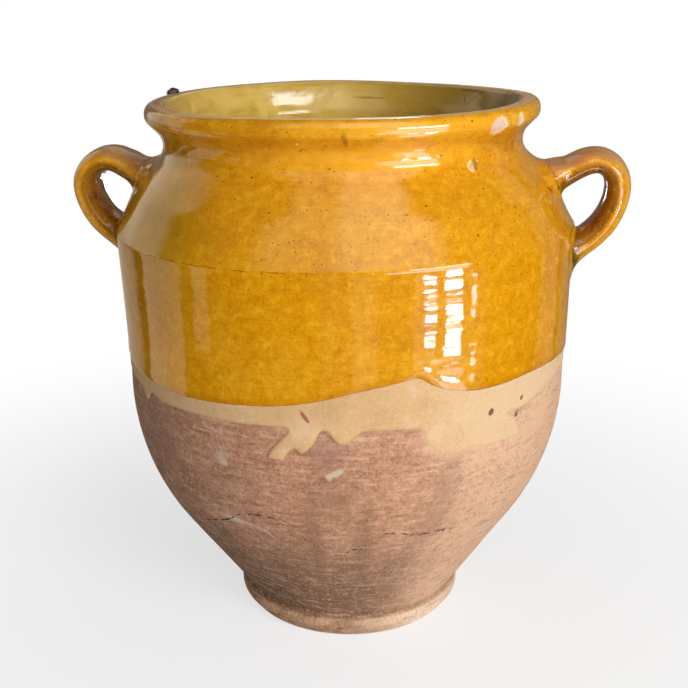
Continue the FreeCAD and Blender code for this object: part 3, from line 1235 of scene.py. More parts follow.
class AmberGlaze(Finish):
    """The glossy amber lead glaze over slip: mottled, specked, lined by the throwing and pooled at its edges."""

    name = "amber_glaze"
    roughness = 0.055
    deep = srgb(184, 108, 3)
    middle = srgb(219, 148, 6)
    light = srgb(236, 180, 44)
    straw = srgb(214, 162, 66)
    pooled = srgb(118, 70, 16)
    speck = srgb(96, 52, 12)
    pale_bubble_and_highlight = srgb(246, 214, 140)
    olive = srgb(158, 118, 10)
    umber = srgb(140, 78, 20)
    painted_light_honey = srgb(252, 182, 52)
    crease = srgb(138, 80, 20)
    worn = srgb(236, 205, 158)
    rubbed = srgb(190, 140, 106)
    copper_green = srgb(34, 62, 20)
    notch = srgb(92, 34, 10)

    patches: Sequence[Patch] = (
        # The olive patches on the left are partly the glaze's greener tone and partly painted shade on the side
        # away from the key light.
        ("olive", 0.6, (-48.0, 252.0, 32.0, 20.0, 0.0, 0.7, 0.4, 14.0)),
        ("olive", 0.45, (-62.0, 279.0, 30.0, 9.0, 0.0, 0.7, 0.3, 9.0)),
        ("olive", 0.4, (-40.0, 226.0, 26.0, 30.0, 0.0, 0.7, 0.4, 14.0)),
        ("umber", 0.6, (-62.0, 297.5, 20.0, 3.6, 0.0, 0.6, 0.6, 4.0)),
        ("umber", 0.7, (6.6, 290.6, 1.6, 4.0, 14.0, 0.5, 0.5, 2.0)),
        ("umber", 0.4, (60.0, 282.0, 24.0, 5.0, -8.0, 0.7, 0.5, 5.0)),
        # The painted_light_honey patches are painted light: they brighten the neck in the lip's shade, the lip, and
        # the left shoulder away from the key light.
        ("painted_light_honey", 0.5, (14.0, 281.0, 72.0, 7.0, 0.0, 0.6, 0.5, 7.0)),
        ("painted_light_honey", 0.45, (34.0, 295.0, 76.0, 5.0, 0.0, 0.6, 0.5, 7.0)),
        ("painted_light_honey", 0.75, (-98.0, 246.0, 34.0, 26.0, 0.0, 0.6, 0.3, 12.0)),
    )

    def colour(self, bench: NodeBench, place: bpy.types.Node) -> Socket:
        """Returns the glaze's colour, the same on the pot and on its handles, with patches of painted light and
        shade laid in.
        """
        where, height = place.outputs["Place"], place.outputs["Height"]
        clouds = bench.noise(where, 45.0, 4.0, 0.6, 0.4)
        tone = self.mottled(bench, self.middle, clouds, ("light", 0.5, 0.7, 0.3), ("deep", 0.5, 0.32, 0.35))
        blotches = bench.noise(where, 5.0, 6.0, 0.7)
        tone = self.mottled(bench, tone, blotches, ("light", 0.5, 0.66, 0.55), ("deep", 0.5, 0.33, 0.5))
        grain = bench.noise(where, 1.2, 4.0, 0.75)
        tone = self.mottled(bench, tone, grain, ("light", 0.52, 0.7, 0.55), ("deep", 0.48, 0.3, 0.6))
        lines = bench.group(self.effects.turning, spacing=1.7, breaks=0.12).outputs["Lines"]
        lined = bench.ramp(height, 262.0, 280.0, 0.3, 0.6)
        tone = bench.mix(tone, self.deep, bench.times(bench.ramp(lines, 0.5, 0.7), lined))
        # Slightly paler straw above the crease: partly thinner glaze, partly a painted haze of reflected light.
        tone = self.mottled(bench, tone, height, ("straw", 229.0, 234.0, 0.08))
        tone = self.patched(bench, tone, self.patches)
        upper = bench.ramp(height, 216.0, 236.0, 0.3, 0.85)
        for spacing, size, share in ((2.6, 0.42, 0.7), (5.0, 0.6, 0.4), (15.0, 1.0, 0.25)):
            dots = bench.group(self.effects.specks, spacing=spacing, size=size, share=share).outputs["Mask"]
            tone = bench.mix(tone, self.speck, bench.times(dots, upper))
        burst = bench.group(self.effects.specks, spacing=13.0, size=0.8, share=0.2).outputs["Mask"]
        tone = bench.mix(tone, self.pale_bubble_and_highlight, bench.times(burst, 0.8))
        joint = bench.attribute("joint")
        pool = bench.times(bench.ramp(joint, 0.6, 1.0), bench.ramp(blotches, 0.35, 0.6, 0.2, 0.6))
        tone = bench.mix(tone, self.pooled, pool)
        green = self.spot(bench, 84.0, 211.0, 11.0, 13.0, 12.0, 0.5, 0.3, 6.0)
        green = bench.times(green, bench.ramp(joint, 0.1, 0.75, 0.15, 0.95))
        tone = bench.mix(tone, self.copper_green, green)
        hollow = self.spot(bench, 76.2, 253.6, 2.4, 1.0, -20.0, 0.4, 0.2, 2.0)
        return bench.mix(tone, self.notch, bench.times(hollow, 0.85))

    def relief(self, bench: NodeBench, place: bpy.types.Node) -> Socket:
        """Returns the height in millimetres of the glaze's soft waves, peel and pinholes."""
        where = place.outputs["Place"]
        broad = bench.noise(where, 17.0, 1.0, 0.4)
        peel = bench.noise(where, 4.2, 2.5, 0.55)
        lines = bench.group(self.effects.turning, spacing=5.0, breaks=0.06).outputs["Lines"]
        height = bench.math("MULTIPLY_ADD", peel, 0.022, bench.times(broad, 0.12))
        height = bench.math("MULTIPLY_ADD", lines, 0.014, height)
        pits = bench.group(self.effects.specks, spacing=10.0, size=0.8, share=0.3).outputs["Mask"]
        return bench.math("MULTIPLY_ADD", pits, -0.1, height)

    def dress(self, bench: NodeBench, shader: bpy.types.Node) -> None:
        """Adds the pooled lower edge, the worn crown, the chips' borders, the line of the crease with painted shade
        under its overhang, and the blister's painted highlight and shade.
        """
        place = bench.group(self.effects.place)
        bearing, height = place.outputs["Bearing"], place.outputs["Height"]
        colour = self.colour(bench, place)
        edge = bench.attribute("edge")
        low = bench.ramp(height, 205.0, 195.0)
        line = bench.times(bench.ramp(edge, 0.6, 0.15, 0.0, 0.7), low)
        thick = bench.times(bench.ramp(edge, 5.0, 1.5, 0.0, 0.3), low)
        colour = bench.mix(colour, self.deep, thick)
        colour = bench.mix(colour, self.pooled, line)
        # The broken dark line along the crease is partly a mark in the glaze and partly painted shade under the
        # crease's overhang, stronger on the left.
        jitter = bench.noise(place.outputs["Place"], 5.0, 4.0, 0.65)
        gap = bench.math("ABSOLUTE", bench.math("MULTIPLY_ADD", jitter, 2.4, bench.math("SUBTRACT", height, 232.4)))
        drawn_out = bench.scaled(place.outputs["Place"], (1.0, 1.0, 0.2))
        broken = bench.ramp(bench.noise(drawn_out, 8.0, 3.0, 0.6), 0.42, 0.56)
        crease_line_and_shade = bench.times(bench.ramp(gap, 0.4, 0.1), broken)
        crease_line_and_shade = bench.times(crease_line_and_shade, bench.ramp(bearing, 15.0, -15.0, 0.1, 0.65))
        colour = bench.mix(colour, self.crease, crease_line_and_shade)
        high = bench.ramp(height, 284.0, 288.0)
        crown = bench.times(bench.ramp(edge, 2.2, 0.8), high)
        colour = bench.mix(colour, self.worn, bench.times(crown, 0.85))
        chipped = bench.math("MAXIMUM", self.spot(bench, 52.2, 292.7, 6.8, 4.3, 0.0, 0.12, 0.4, 2.5),
                             self.spot(bench, 62.9, 293.7, 3.2, 3.2, 0.0, 0.12, 0.4, 2.5))
        colour = bench.mix(colour, self.worn, chipped)
        scratched = bench.ramp(bench.noise(place.outputs["Place"], 2.6, 5.0, 0.7), 0.42, 0.6, 0.25, 0.95)
        scuffed = bench.times(self.spot(bench, -82.0, 296.5, 38.0, 7.0, 0.0, 0.5, 0.6, 5.0), scratched)
        colour = bench.mix(colour, self.rubbed, scuffed)
        # At the blister the pale crescent is a painted highlight and the umber spot beside it is painted shade; the
        # umber spot also sinks the relief as a real dent.
        painted_crescent_highlight = self.spot(bench, 45.2, 272.6, 2.8, 3.0, -25.0, 0.3, 0.1, 2.0)
        sunk = self.spot(bench, 46.9, 273.4, 2.5, 2.9, -25.0, 0.3, 0.1, 2.0)
        colour = bench.mix(colour, self.pale_bubble_and_highlight, bench.times(painted_crescent_highlight, 0.95))
        colour = bench.mix(colour, self.umber, bench.times(sunk, 0.55))
        bench.feed(shader.inputs["Base Color"], colour)
        cut = bench.math("MULTIPLY_ADD", crease_line_and_shade, -0.08, self.relief(bench, place))
        cut = bench.math("MULTIPLY_ADD", sunk, -0.4, cut)
        self.bumped(bench, shader, cut)


class HandleGlaze(AmberGlaze):
    """The same glaze on a handle, rubbed thin over the arm and along its ridge, with painted shade on its inner
    side and painted light on its outer face.
    """

    name = "handle_glaze"
    toffee = srgb(170, 112, 24)
    painted_shade_brown = srgb(104, 54, 18)

    def dress(self, bench: NodeBench, shader: bpy.types.Node) -> None:
        """Adds the rubbed arm, painted shade on the inner side, painted light on the right handle's outer face, and
        pale flecks along the ridge that are partly chipped and worn glaze and partly painted glints.
        """
        place = bench.group(self.effects.place)
        along = bench.attribute("strap_along")
        across = bench.attribute("strap_across")
        outward = bench.attribute("strap_outward")
        side = bench.math("ABSOLUTE", across)
        colour = self.colour(bench, place)
        patchy = bench.noise(place.outputs["Place"], 8.0, 5.0, 0.66)
        colour = bench.mix(colour, self.toffee, bench.ramp(patchy, 0.42, 0.6, 0.0, 0.4))
        # Painted shade: the strap's inner side, facing the hole, is darkened towards brown.
        inner = bench.times(bench.ramp(outward, 0.6, -2.0), bench.ramp(patchy, 0.32, 0.6, 0.95, 0.6))
        colour = bench.mix(colour, self.painted_shade_brown, inner)
        arm = bench.times(bench.ramp(along, 0.5, 0.34), bench.ramp(outward, 1.5, 5.0))
        arm = bench.times(arm, bench.ramp(patchy, 0.36, 0.6, 0.35, 0.95))
        colour = bench.mix(colour, self.rubbed, arm)
        scraped = bench.ramp(bench.noise(place.outputs["Place"], 2.2, 5.0, 0.72, 0.6), 0.54, 0.62)
        scraped = bench.times(scraped, bench.ramp(along, 0.3, 0.22))
        scraped = bench.times(scraped, bench.ramp(outward, 1.5, -2.0))
        colour = bench.mix(colour, self.speck, bench.times(scraped, 0.75))
        flecks = bench.ramp(bench.noise(place.outputs["Place"], 3.0, 5.0, 0.7), 0.58, 0.66)
        # Painted light: the right handle's outer face, on the side of the key light, is brightened with honey.
        facing = bench.ramp(place.outputs["Bearing"], 0.0, 20.0)
        painted_light_side = bench.times(bench.ramp(outward, 2.0, 5.5), facing)
        painted_light_side = bench.times(painted_light_side, bench.ramp(along, 0.3, 0.5))
        colour = bench.mix(colour, self.painted_light_honey, bench.times(painted_light_side, 0.5))
        # Pale flecks along the strap's edges: partly worn glaze, partly painted glints.
        ridge = bench.times(bench.ramp(side, 11.0, 15.0), flecks)
        colour = bench.mix(colour, self.pale_bubble_and_highlight, bench.times(ridge, 0.35))
        bench.feed(shader.inputs["Base Color"], colour)
        self.bumped(bench, shader, self.relief(bench, place))


class InnerGlaze(Finish):
    """The paler glaze inside: cream yellow, darker olive towards +X that is partly its own tone and partly painted
    shade, with faint turning lines.
    """

    name = "inner_glaze"
    roughness = 0.08
    cream = srgb(224, 188, 98)
    straw = srgb(200, 162, 66)
    olive = srgb(150, 115, 42)
    dark = srgb(84, 62, 26)
    worn = srgb(232, 196, 146)

    patches: Sequence[Patch] = (
        ("dark", 0.5, (136.4, 293.2, 4.9, 0.7, 42.0, 0.5, 0.4, 3.0)),
        ("dark", 0.5, (131.9, 293.8, 7.2, 0.7, -32.0, 0.5, 0.4, 3.0)),
        ("dark", 0.5, (178.4, 290.6, 13.0, 0.6, 0.0, 0.5, 0.4, 3.0)),
        ("dark", 0.5, (134.0, 298.0, 12.0, 0.9, 0.0, 0.5, 0.4, 3.0)),
    )

    def dress(self, bench: NodeBench, shader: bpy.types.Node) -> None:
        """Feeds colour and relief."""
        place = bench.group(self.effects.place)
        where = place.outputs["Place"]
        split = bench.node("SeparateXYZ")
        bench.feed(split.inputs[0], where)
        clouds = bench.noise(where, 26.0, 4.0, 0.6, 0.4)
        colour = bench.mix(self.straw, self.cream, bench.ramp(clouds, 0.4, 0.62))
        # Darker olive towards +X: partly the glaze's own tone, partly painted shade on the far inner wall.
        across = bench.math("MULTIPLY_ADD", bench.math("SUBTRACT", clouds, 0.5), 60.0, split.outputs["X"])
        colour = bench.mix(colour, self.olive, bench.ramp(across, -45.0, 60.0, 0.0, 0.9))
        lines = bench.group(self.effects.turning, spacing=2.6, breaks=0.05).outputs["Lines"]
        colour = bench.mix(colour, self.olive, bench.ramp(lines, 0.52, 0.74, 0.0, 0.5))
        grain = bench.noise(where, 1.4, 4.0, 0.65)
        colour = bench.mix(colour, self.cream, bench.ramp(grain, 0.52, 0.75, 0.0, 0.25))
        coarse = bench.group(self.effects.specks, spacing=8.0, size=0.7, share=0.35).outputs["Mask"]
        colour = bench.mix(colour, self.dark, bench.times(coarse, 0.6))
        colour = self.patched(bench, colour, self.patches)
        edge = bench.attribute("edge")
        colour = bench.mix(colour, self.worn, bench.ramp(edge, 1.6, 0.2, 0.0, 0.8))
        bench.feed(shader.inputs["Base Color"], colour)
        height = bench.times(lines, 0.1)
        height = bench.math("MULTIPLY_ADD", bench.noise(where, 14.0, 2.0, 0.5), 0.3, height)
        self.bumped(bench, shader, height)


class CreamSlip(Finish):
    """The dry, sandy slip that shows below the glaze and runs down in drips."""

    name = "cream_slip"
    roughness = 0.82
    buff = srgb(214, 174, 124)
    warm = srgb(200, 158, 112)
    pale = srgb(226, 194, 156)
    grain = srgb(158, 116, 74)
    bare = srgb(112, 70, 54)
    red = srgb(158, 88, 64)

    patches: Sequence[Patch] = (
        ("bare", 0.95, (42.6, 153.9, 2.0, 1.6, 55.0, 0.12, 0.05, 1.5)),
        ("bare", 0.95, (51.4, 148.0, 1.5, 1.25, 55.0, 0.12, 0.05, 1.5)),
        ("bare", 0.95, (53.1, 156.2, 1.5, 0.95, 65.0, 0.12, 0.05, 1.5)),
        ("red", 0.9, (-2.3, 159.7, 3.6, 1.0, -56.0, 0.15, 0.08, 1.5)),
    )

    def dress(self, bench: NodeBench, shader: bpy.types.Node) -> None:
        """Feeds colour and relief."""
        place = bench.group(self.effects.place)
        where, bearing = place.outputs["Place"], place.outputs["Bearing"]
        clouds = bench.noise(where, 16.0, 5.0, 0.6)
        colour = self.mottled(bench, self.buff, clouds, ("warm", 0.5, 0.7, 0.7), ("pale", 0.48, 0.3, 0.6))
        # Paler on the right: partly the thinner washed slip, partly painted light on the side of the key light.
        painted_light_side = bench.times(bench.ramp(bearing, 20.0, 46.0), bench.ramp(bearing, 165.0, 110.0))
        colour = bench.mix(colour, self.pale, bench.times(painted_light_side, 0.7))
        sand = bench.noise(where, 1.3, 4.0, 0.8)
        colour = self.mottled(bench, colour, sand, ("grain", 0.52, 0.72, 0.42), ("pale", 0.48, 0.3, 0.7))
        edge = bench.attribute("edge")
        colour = bench.mix(colour, self.warm, bench.ramp(edge, 1.6, 0.2, 0.0, 0.5))
        colour = self.patched(bench, colour, self.patches)
        bench.feed(shader.inputs["Base Color"], colour)
        height = bench.times(bench.noise(where, 5.0, 4.0, 0.6), 0.28)
        self.bumped(bench, shader, bench.math("MULTIPLY_ADD", sand, 0.12, height))


class FiredClay(Finish):
    """The bare pinkish-brown body, with turning lines, scum, smoke and painted shade, a stain, washed slip and
    cracks.
    """

    name = "fired_clay"
    roughness = 0.86
    pink = srgb(190, 137, 106)
    light = srgb(206, 157, 123)
    glint = srgb(232, 190, 158)
    brown = srgb(160, 112, 84)
    smoke_and_shade = srgb(112, 78, 56)
    scum = srgb(206, 186, 164)
    wash = srgb(221, 178, 143)
    foot = srgb(208, 164, 128)
    heel = srgb(118, 88, 64)
    stain = srgb(144, 108, 96)
    crack = srgb(40, 26, 20)
    pale_right_foot = srgb(238, 212, 184)
    sooty = srgb(150, 116, 98)
    chip = srgb(226, 190, 176)
    rim = srgb(226, 168, 104)

    patches: Sequence[Patch] = (
        ("stain", 0.34, (31.0, 110.0, 6.0, 32.0, -9.0, 0.7, 0.7, 8.0)),
        ("stain", 0.45, (2.0, 142.0, 10.0, 8.0, 0.0, 0.5, 0.35, 8.0)),
        ("stain", 0.35, (-46.0, 132.0, 16.0, 22.0, 0.0, 0.6, 0.35, 12.0)),
        ("heel", 0.4, (-1.5, 84.0, 4.5, 30.0, 0.0, 0.6, 0.4, 9.0)),
        ("heel", 0.35, (11.5, 84.0, 5.0, 28.0, 0.0, 0.6, 0.4, 9.0)),
        ("heel", 0.3, (3.5, 116.0, 10.0, 16.0, 0.0, 0.7, 0.5, 9.0)),
        ("wash", 0.85, (34.0, 142.5, 22.0, 8.5, -6.0, 0.45, 0.3, 6.0)),
        ("wash", 0.8, (62.0, 140.0, 16.0, 7.0, 32.0, 0.35, 0.3, 6.0)),
        ("crack", 0.8, (51.4, 148.0, 1.5, 1.25, 55.0, 0.12, 0.05, 1.5)),
        ("scum", 0.55, (-23.6, 131.4, 3.6, 2.8, 20.0, 0.6, 0.5, 2.5)),
        ("scum", 0.8, (-23.0, 128.8, 2.0, 1.3, -10.0, 0.4, 0.4, 2.0)),
        ("scum", 0.75, (-23.6, 93.0, 5.0, 2.2, -8.0, 0.5, 0.5, 2.5)),
        ("scum", 0.9, (4.6, 130.2, 4.2, 1.7, 28.0, 0.35, 0.3, 2.0)),
        ("scum", 0.8, (3.0, 128.0, 1.5, 1.9, 10.0, 0.35, 0.3, 2.0)),
        ("chip", 0.95, (52.2, 292.7, 7.0, 4.6, 0.0, 0.1, 0.1, 2.0)),
        ("chip", 0.9, (62.9, 293.7, 4.0, 3.6, 0.0, 0.1, 0.1, 2.0)),
    )

    scum_streak: Sequence[Spot] = ((-27.5, 94.0), (-25.2, 93.2), (-20.5, 92.3), (-16.7, 90.9), (-12.4, 82.6))
    crack_runs: Sequence[Sequence[Spot]] = (
        ((-42.0, 84.9), (-36.4, 84.4), (-33.4, 86.0), (-26.6, 90.9), (-17.4, 99.6), (-9.5, 98.9), (-3.7, 86.2),
         (-1.4, 82.8), (5.4, 75.4), (9.0, 80.4), (17.0, 76.0)),
        ((12.0, 83.3), (16.1, 88.1), (17.5, 91.5), (20.8, 90.6), (26.7, 87.6), (30.8, 87.9), (38.0, 86.9)),
    )

    def dress(self, bench: NodeBench, shader: bpy.types.Node) -> None:
        """Feeds colour and relief, from the body outwards to what lies on it."""
        place = bench.group(self.effects.place)
        where, bearing, height = (place.outputs[name] for name in ("Place", "Bearing", "Height"))
        colour = self.body(bench, where, bearing, height)
        grain = bench.noise(where, 1.5, 5.0, 0.85)
        colour = self.mottled(bench, colour, grain, ("smoke_and_shade", 0.51, 0.62, 0.45), ("glint", 0.49, 0.38, 0.5))
        crumbs = bench.noise(where, 4.0, 5.0, 0.75)
        colour = self.mottled(bench, colour, crumbs, ("smoke_and_shade", 0.52, 0.68, 0.4), ("glint", 0.48, 0.34, 0.35))
        brushed = bench.noise(bench.scaled(where, (0.2, 0.2, 1.4)), 3.0, 4.0, 0.65)
        colour = self.mottled(bench, colour, brushed, ("smoke_and_shade", 0.53, 0.68, 0.35), ("glint", 0.47, 0.33, 0.4))
        colour = self.patched(bench, colour, self.patches)
        streak = self.stroke(bench, bearing, height, where, self.scum_streak, 1.5, 0.8)
        colour = bench.mix(colour, self.scum, bench.times(streak, 0.7))
        scratches = bench.group(self.effects.turning, spacing=0.9, breaks=0.1).outputs["Lines"]
        lower = bench.ramp(height, 110.0, 60.0, 0.15, 0.5)
        colour = bench.mix(colour, self.scum, bench.times(bench.ramp(scratches, 0.64, 0.72), lower))
        rubbed = bench.ramp(bench.noise(where, 7.0, 6.0, 0.72, 0.8), 0.6, 0.72, 0.0, 0.35)
        colour = bench.mix(colour, self.scum, rubbed)
        cracks = self.cracks(bench, bearing, height, where)
        colour = bench.mix(colour, self.crack, cracks)
        bench.feed(shader.inputs["Base Color"], colour)
        relief = bench.times(bench.group(self.effects.turning, spacing=1.8, breaks=0.1).outputs["Lines"], 0.16)
        rough = bench.ramp(bearing, 14.0, 46.0, 0.26, 0.03)
        relief = bench.math("MULTIPLY_ADD", grain, rough, relief)
        relief = bench.math("MULTIPLY_ADD", bench.noise(where, 11.0, 3.0, 0.6), 0.35, relief)
        self.bumped(bench, shader, bench.math("MULTIPLY_ADD", cracks, -0.3, relief))

    def body(self, bench: NodeBench, where: Value, bearing: Value, height: Value) -> Socket:
        """Returns the clay's colour: clouds, fine throwing lines, darkening on the left that is partly smoke and
        partly painted shade, a darker heel, painted shade in the foot groove and a paler right side of the foot
        ring.
        """
        clouds = bench.noise(where, 22.0, 5.0, 0.62, 0.3)
        colour = self.mottled(bench, self.pink, clouds, ("light", 0.5, 0.7, 0.8), ("brown", 0.49, 0.3, 0.6))
        lines = bench.group(self.effects.turning, spacing=1.8, breaks=0.1).outputs["Lines"]
        colour = self.mottled(bench, colour, lines, ("brown", 0.5, 0.72, 0.45), ("light", 0.48, 0.28, 0.4))
        ragged = bench.times(bench.math("SUBTRACT", bench.noise(where, 30.0, 5.0, 0.6), 0.5), 70.0)
        low = bench.times(bench.ramp(bench.math("ADD", height, ragged), 100.0, 40.0), 0.8)
        colour = bench.mix(colour, self.heel, low)
        # Darker on the left, more so lower down: partly smoke, partly painted shade on the side away from the key
        # light.
        left = bench.ramp(bench.math("ADD", bearing, ragged), 0.0, -65.0)
        left = bench.times(left, bench.ramp(height, 165.0, 60.0, 0.35, 0.85))
        left = bench.times(left, bench.ramp(bearing, -175.0, -120.0))
        colour = bench.mix(colour, self.smoke_and_shade, bench.times(left, 0.9))
        washed = bench.ramp(bench.math("MULTIPLY_ADD", ragged, 0.4, bearing), 14.0, 46.0)
        washed = bench.times(washed, bench.ramp(bearing, 160.0, 120.0))
        colour = bench.mix(colour, self.wash, bench.times(washed, 0.94))
        ring = bench.ramp(height, 15.5, 13.5)
        patchy = bench.ramp(bench.noise(where, 9.0, 5.0, 0.65), 0.36, 0.6, 0.25, 0.95)
        colour = bench.mix(colour, self.foot, bench.times(ring, patchy))
        # The foot ring is paler on its right side.
        pale_right_foot = bench.times(ring, bench.ramp(bearing, 0.0, 40.0))
        pale_right_foot = bench.times(pale_right_foot, bench.ramp(bearing, 150.0, 110.0))
        colour = bench.mix(colour, self.pale_right_foot, bench.times(pale_right_foot, 0.85))
        # Painted shade: a darker band in the groove above the foot ring.
        groove = bench.times(bench.ramp(height, 12.6, 14.6), bench.ramp(height, 20.0, 15.5))
        colour = bench.mix(colour, self.smoke_and_shade, bench.times(groove, 0.6))
        colour = bench.mix(colour, self.rim, bench.ramp(height, 286.0, 292.0))
        sooty = self.spot(bench, -86.0, 300.0, 44.0, 12.0, 0.0, 0.5, 0.5, 5.0)
        return bench.mix(colour, self.sooty, bench.times(sooty, 0.8))

    def stroke(self, bench: NodeBench, bearing: Value, height: Value, where: Value, run: Sequence[Spot],
               half_width: float, jitter: float) -> Socket:
        """Returns the mask of one drawn-out mark along points (bearing, height)."""
        wander = bench.times(bench.math("SUBTRACT", bench.noise(where, 3.0, 4.0, 0.7), 0.5), jitter * 2.0)
        gap = bench.math("ABSOLUTE", bench.math("ADD", bench.math("SUBTRACT", height, bench.curve(bearing, run)), wander))
        middle = (run[0][0] + run[-1][0]) / 2.0
        half = (run[-1][0] - run[0][0]) / 2.0
        ends = bench.ramp(bench.math("ABSOLUTE", bench.math("SUBTRACT", bearing, middle)), half, half * 0.85)
        return bench.times(bench.ramp(gap, half_width, half_width * 0.35), ends)

    def cracks(self, bench: NodeBench, bearing: Value, height: Value, where: Value) -> Socket:
        """Returns the mask of the broken hairlines that run round the lower belly."""
        total: Value = 0.0
        for run in self.crack_runs:
            total = bench.math("MAXIMUM", total, self.stroke(bench, bearing, height, where, run, 0.55, 1.3))
        dashes = bench.ramp(bench.noise(bench.scaled(where, (1.0, 1.0, 0.4)), 3.2, 3.0, 0.6), 0.47, 0.53)
        return bench.times(total, dashes)


class KilnGlass(Finish):
    """The dark, glassy blob that fell on the rim in the kiln."""

    name = "kiln_glass"
    roughness = 0.12

    def dress(self, bench: NodeBench, shader: bpy.types.Node) -> None:
        """Feeds colour and relief."""
        place = bench.group(self.effects.place)
        noise = bench.noise(place.outputs["Place"], 2.0, 4.0, 0.6)
        colour = bench.mix(srgb(30, 30, 34), srgb(84, 74, 66), bench.ramp(noise, 0.5, 0.75))
        bench.feed(shader.inputs["Base Color"], colour)
        self.bumped(bench, shader, bench.times(noise, 0.3))


@dataclass
class Pot:
    """The thrown pot: its clay body, slip, glazes, handles and the blob on its rim."""

    form: PotForm = field(default_factory=lambda: PotForm(rim_height=RIM_HEIGHT))
    thrown: HandThrown = field(default_factory=HandThrown)
    effects: Effects = field(default_factory=Effects)
    columns: int = 400
    slip_columns: int = 720
    glaze_skin: float = 0.35

    right_strap_line: Sequence[Spot] = (
        (100.3, 246.5), (119.3, 260.4), (137.0, 268.1), (147.8, 259.8), (141.3, 232.2), (103.3, 208.5),
    )
    left_strap_line: Sequence[Spot] = (
        (105.3, 248.0), (121.3, 258.3), (137.0, 264.2), (149.5, 252.6), (138.2, 226.0), (107.5, 211.0),
    )
    glaze_edge: Sequence[Spot] = (
        (-172.0, 168.0), (-150.0, 164.0), (-128.0, 167.0), (-104.0, 162.0), (-80.0, 163.5), (-59.6, 160.4),
        (-47.0, 160.3), (-33.3, 160.0), (-23.0, 161.3), (-13.1, 163.2), (-6.4, 165.0), (1.1, 168.2), (8.4, 172.3),
        (14.5, 175.0), (20.3, 177.5), (23.1, 178.3), (25.9, 174.6), (29.9, 170.9), (37.0, 167.9), (44.9, 167.5),
        (56.6, 168.4), (77.4, 166.4), (98.0, 163.0), (112.0, 167.0), (128.0, 170.5), (140.0, 166.0), (158.0, 164.0),
    )
    slip_edge: Sequence[Spot] = (
        (-174.0, 153.0), (-156.0, 151.5), (-141.0, 152.5), (-137.0, 146.0), (-134.5, 137.0), (-132.0, 144.0),
        (-128.0, 152.0), (-110.0, 154.5), (-92.0, 153.0), (-70.0, 153.5), (-54.8, 152.2), (-51.3, 147.5),
        (-48.9, 152.6), (-43.5, 151.3), (-33.7, 151.6), (-25.7, 152.0), (-18.8, 152.3), (-10.5, 153.2),
        (-7.0, 153.4), (-6.3, 151.6), (-8.6, 146.0), (-10.7, 140.6), (-11.2, 137.2), (-10.8, 134.2), (-9.5, 132.3),
        (-8.0, 133.0), (-7.3, 136.6), (-6.2, 140.4), (-4.8, 142.4), (-3.2, 140.2),
        (-0.5, 145.4), (0.7, 150.8), (1.6, 153.0), (2.8, 151.8), (5.1, 145.8), (7.3, 146.7),
        (10.3, 151.9), (15.0, 152.5), (20.6, 152.3), (24.2, 151.5), (25.5, 144.0), (29.0, 137.4), (32.6, 134.4),
        (35.2, 136.9), (39.4, 136.8), (46.0, 132.1), (58.0, 133.5), (72.0, 131.0), (84.0, 137.0), (96.0, 149.0),
        (112.0, 151.5), (133.0, 154.5), (152.0, 152.0), (168.0, 154.5),
    )
    bare_patch: Sequence[Spot] = (
        (48.5, 150.2), (52.8, 150.5), (66.4, 155.9), (79.7, 158.3), (90.0, 153.0), (82.0, 140.0), (69.7, 131.5),
        (63.6, 134.9), (54.5, 136.5), (50.5, 147.4),
    )

    chips: Sequence[Sequence[Spot]] = (
        ((49.8, 291.2), (51.2, 289.9), (53.2, 290.0), (54.7, 291.6), (54.6, 293.9), (53.2, 295.2), (51.9, 295.4),
         (50.8, 294.5), (49.9, 293.0)),
        ((62.1, 292.0), (63.1, 291.8), (63.8, 293.4), (63.6, 295.0), (62.9, 295.5), (62.3, 294.2)),
    )

    drips: Sequence[tuple[float, float, float, float, float]] = (
        (156.0, 148.0, -1.5, 13.0, 10.0), (151.0, 147.0, -51.0, 5.0, 3.0), (150.0, 143.0, -134.5, 8.0, 5.0),
    )

    def build(self) -> None:
        """Builds and dresses every piece in turn."""
        outside = self.form.outside_corners()
        inside = self.form.inside_corners()
        rim_middle = (self.form.lip_radius - self.form.rim_thickness / 2.0, self.form.rim_height, 0.0)
        self.outer = Profile([*outside, rim_middle])
        self.inner = Profile([rim_middle, *inside])
        self.whole = Profile([*outside, *inside])
        self._clay()
        self._handles()
        self._slip()
        self._amber()
        self._inner_glaze()
        self._rim_blob()

    def _clay(self) -> None:
        """Turns the clay body, a little under the glaze's skin where the pot is coated."""
        half = self.outer.length
        rows = np.concatenate([
            self.whole.stations(0.0, half, 3.2, 0.22)[:-1], self.whole.stations(half, self.whole.length, 7.0, 0.22),
        ])
        height = self.whole.read(rows)[1]
        coated = np.maximum(smooth_step(height, 138.0, 156.0), rows > half)
        coated *= smooth_step(np.abs(rows - half), 0.5, 3.5)
        radius, height = self.whole.read(rows, -self.glaze_skin * coated)
        radius[[0, -1]] = 0.0
        body = self._lathe("fired_clay", np.stack([np.maximum(radius, 0.0), height], axis=1))
        points = read_points(body)
        write_attribute(body, "thrown_height", points[:, 2])
        write_points(body, self.thrown.shape(points))
        smooth_faces(body, 50.0)
        fit_out(body, FiredClay(self.effects).make())
        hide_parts("pot")

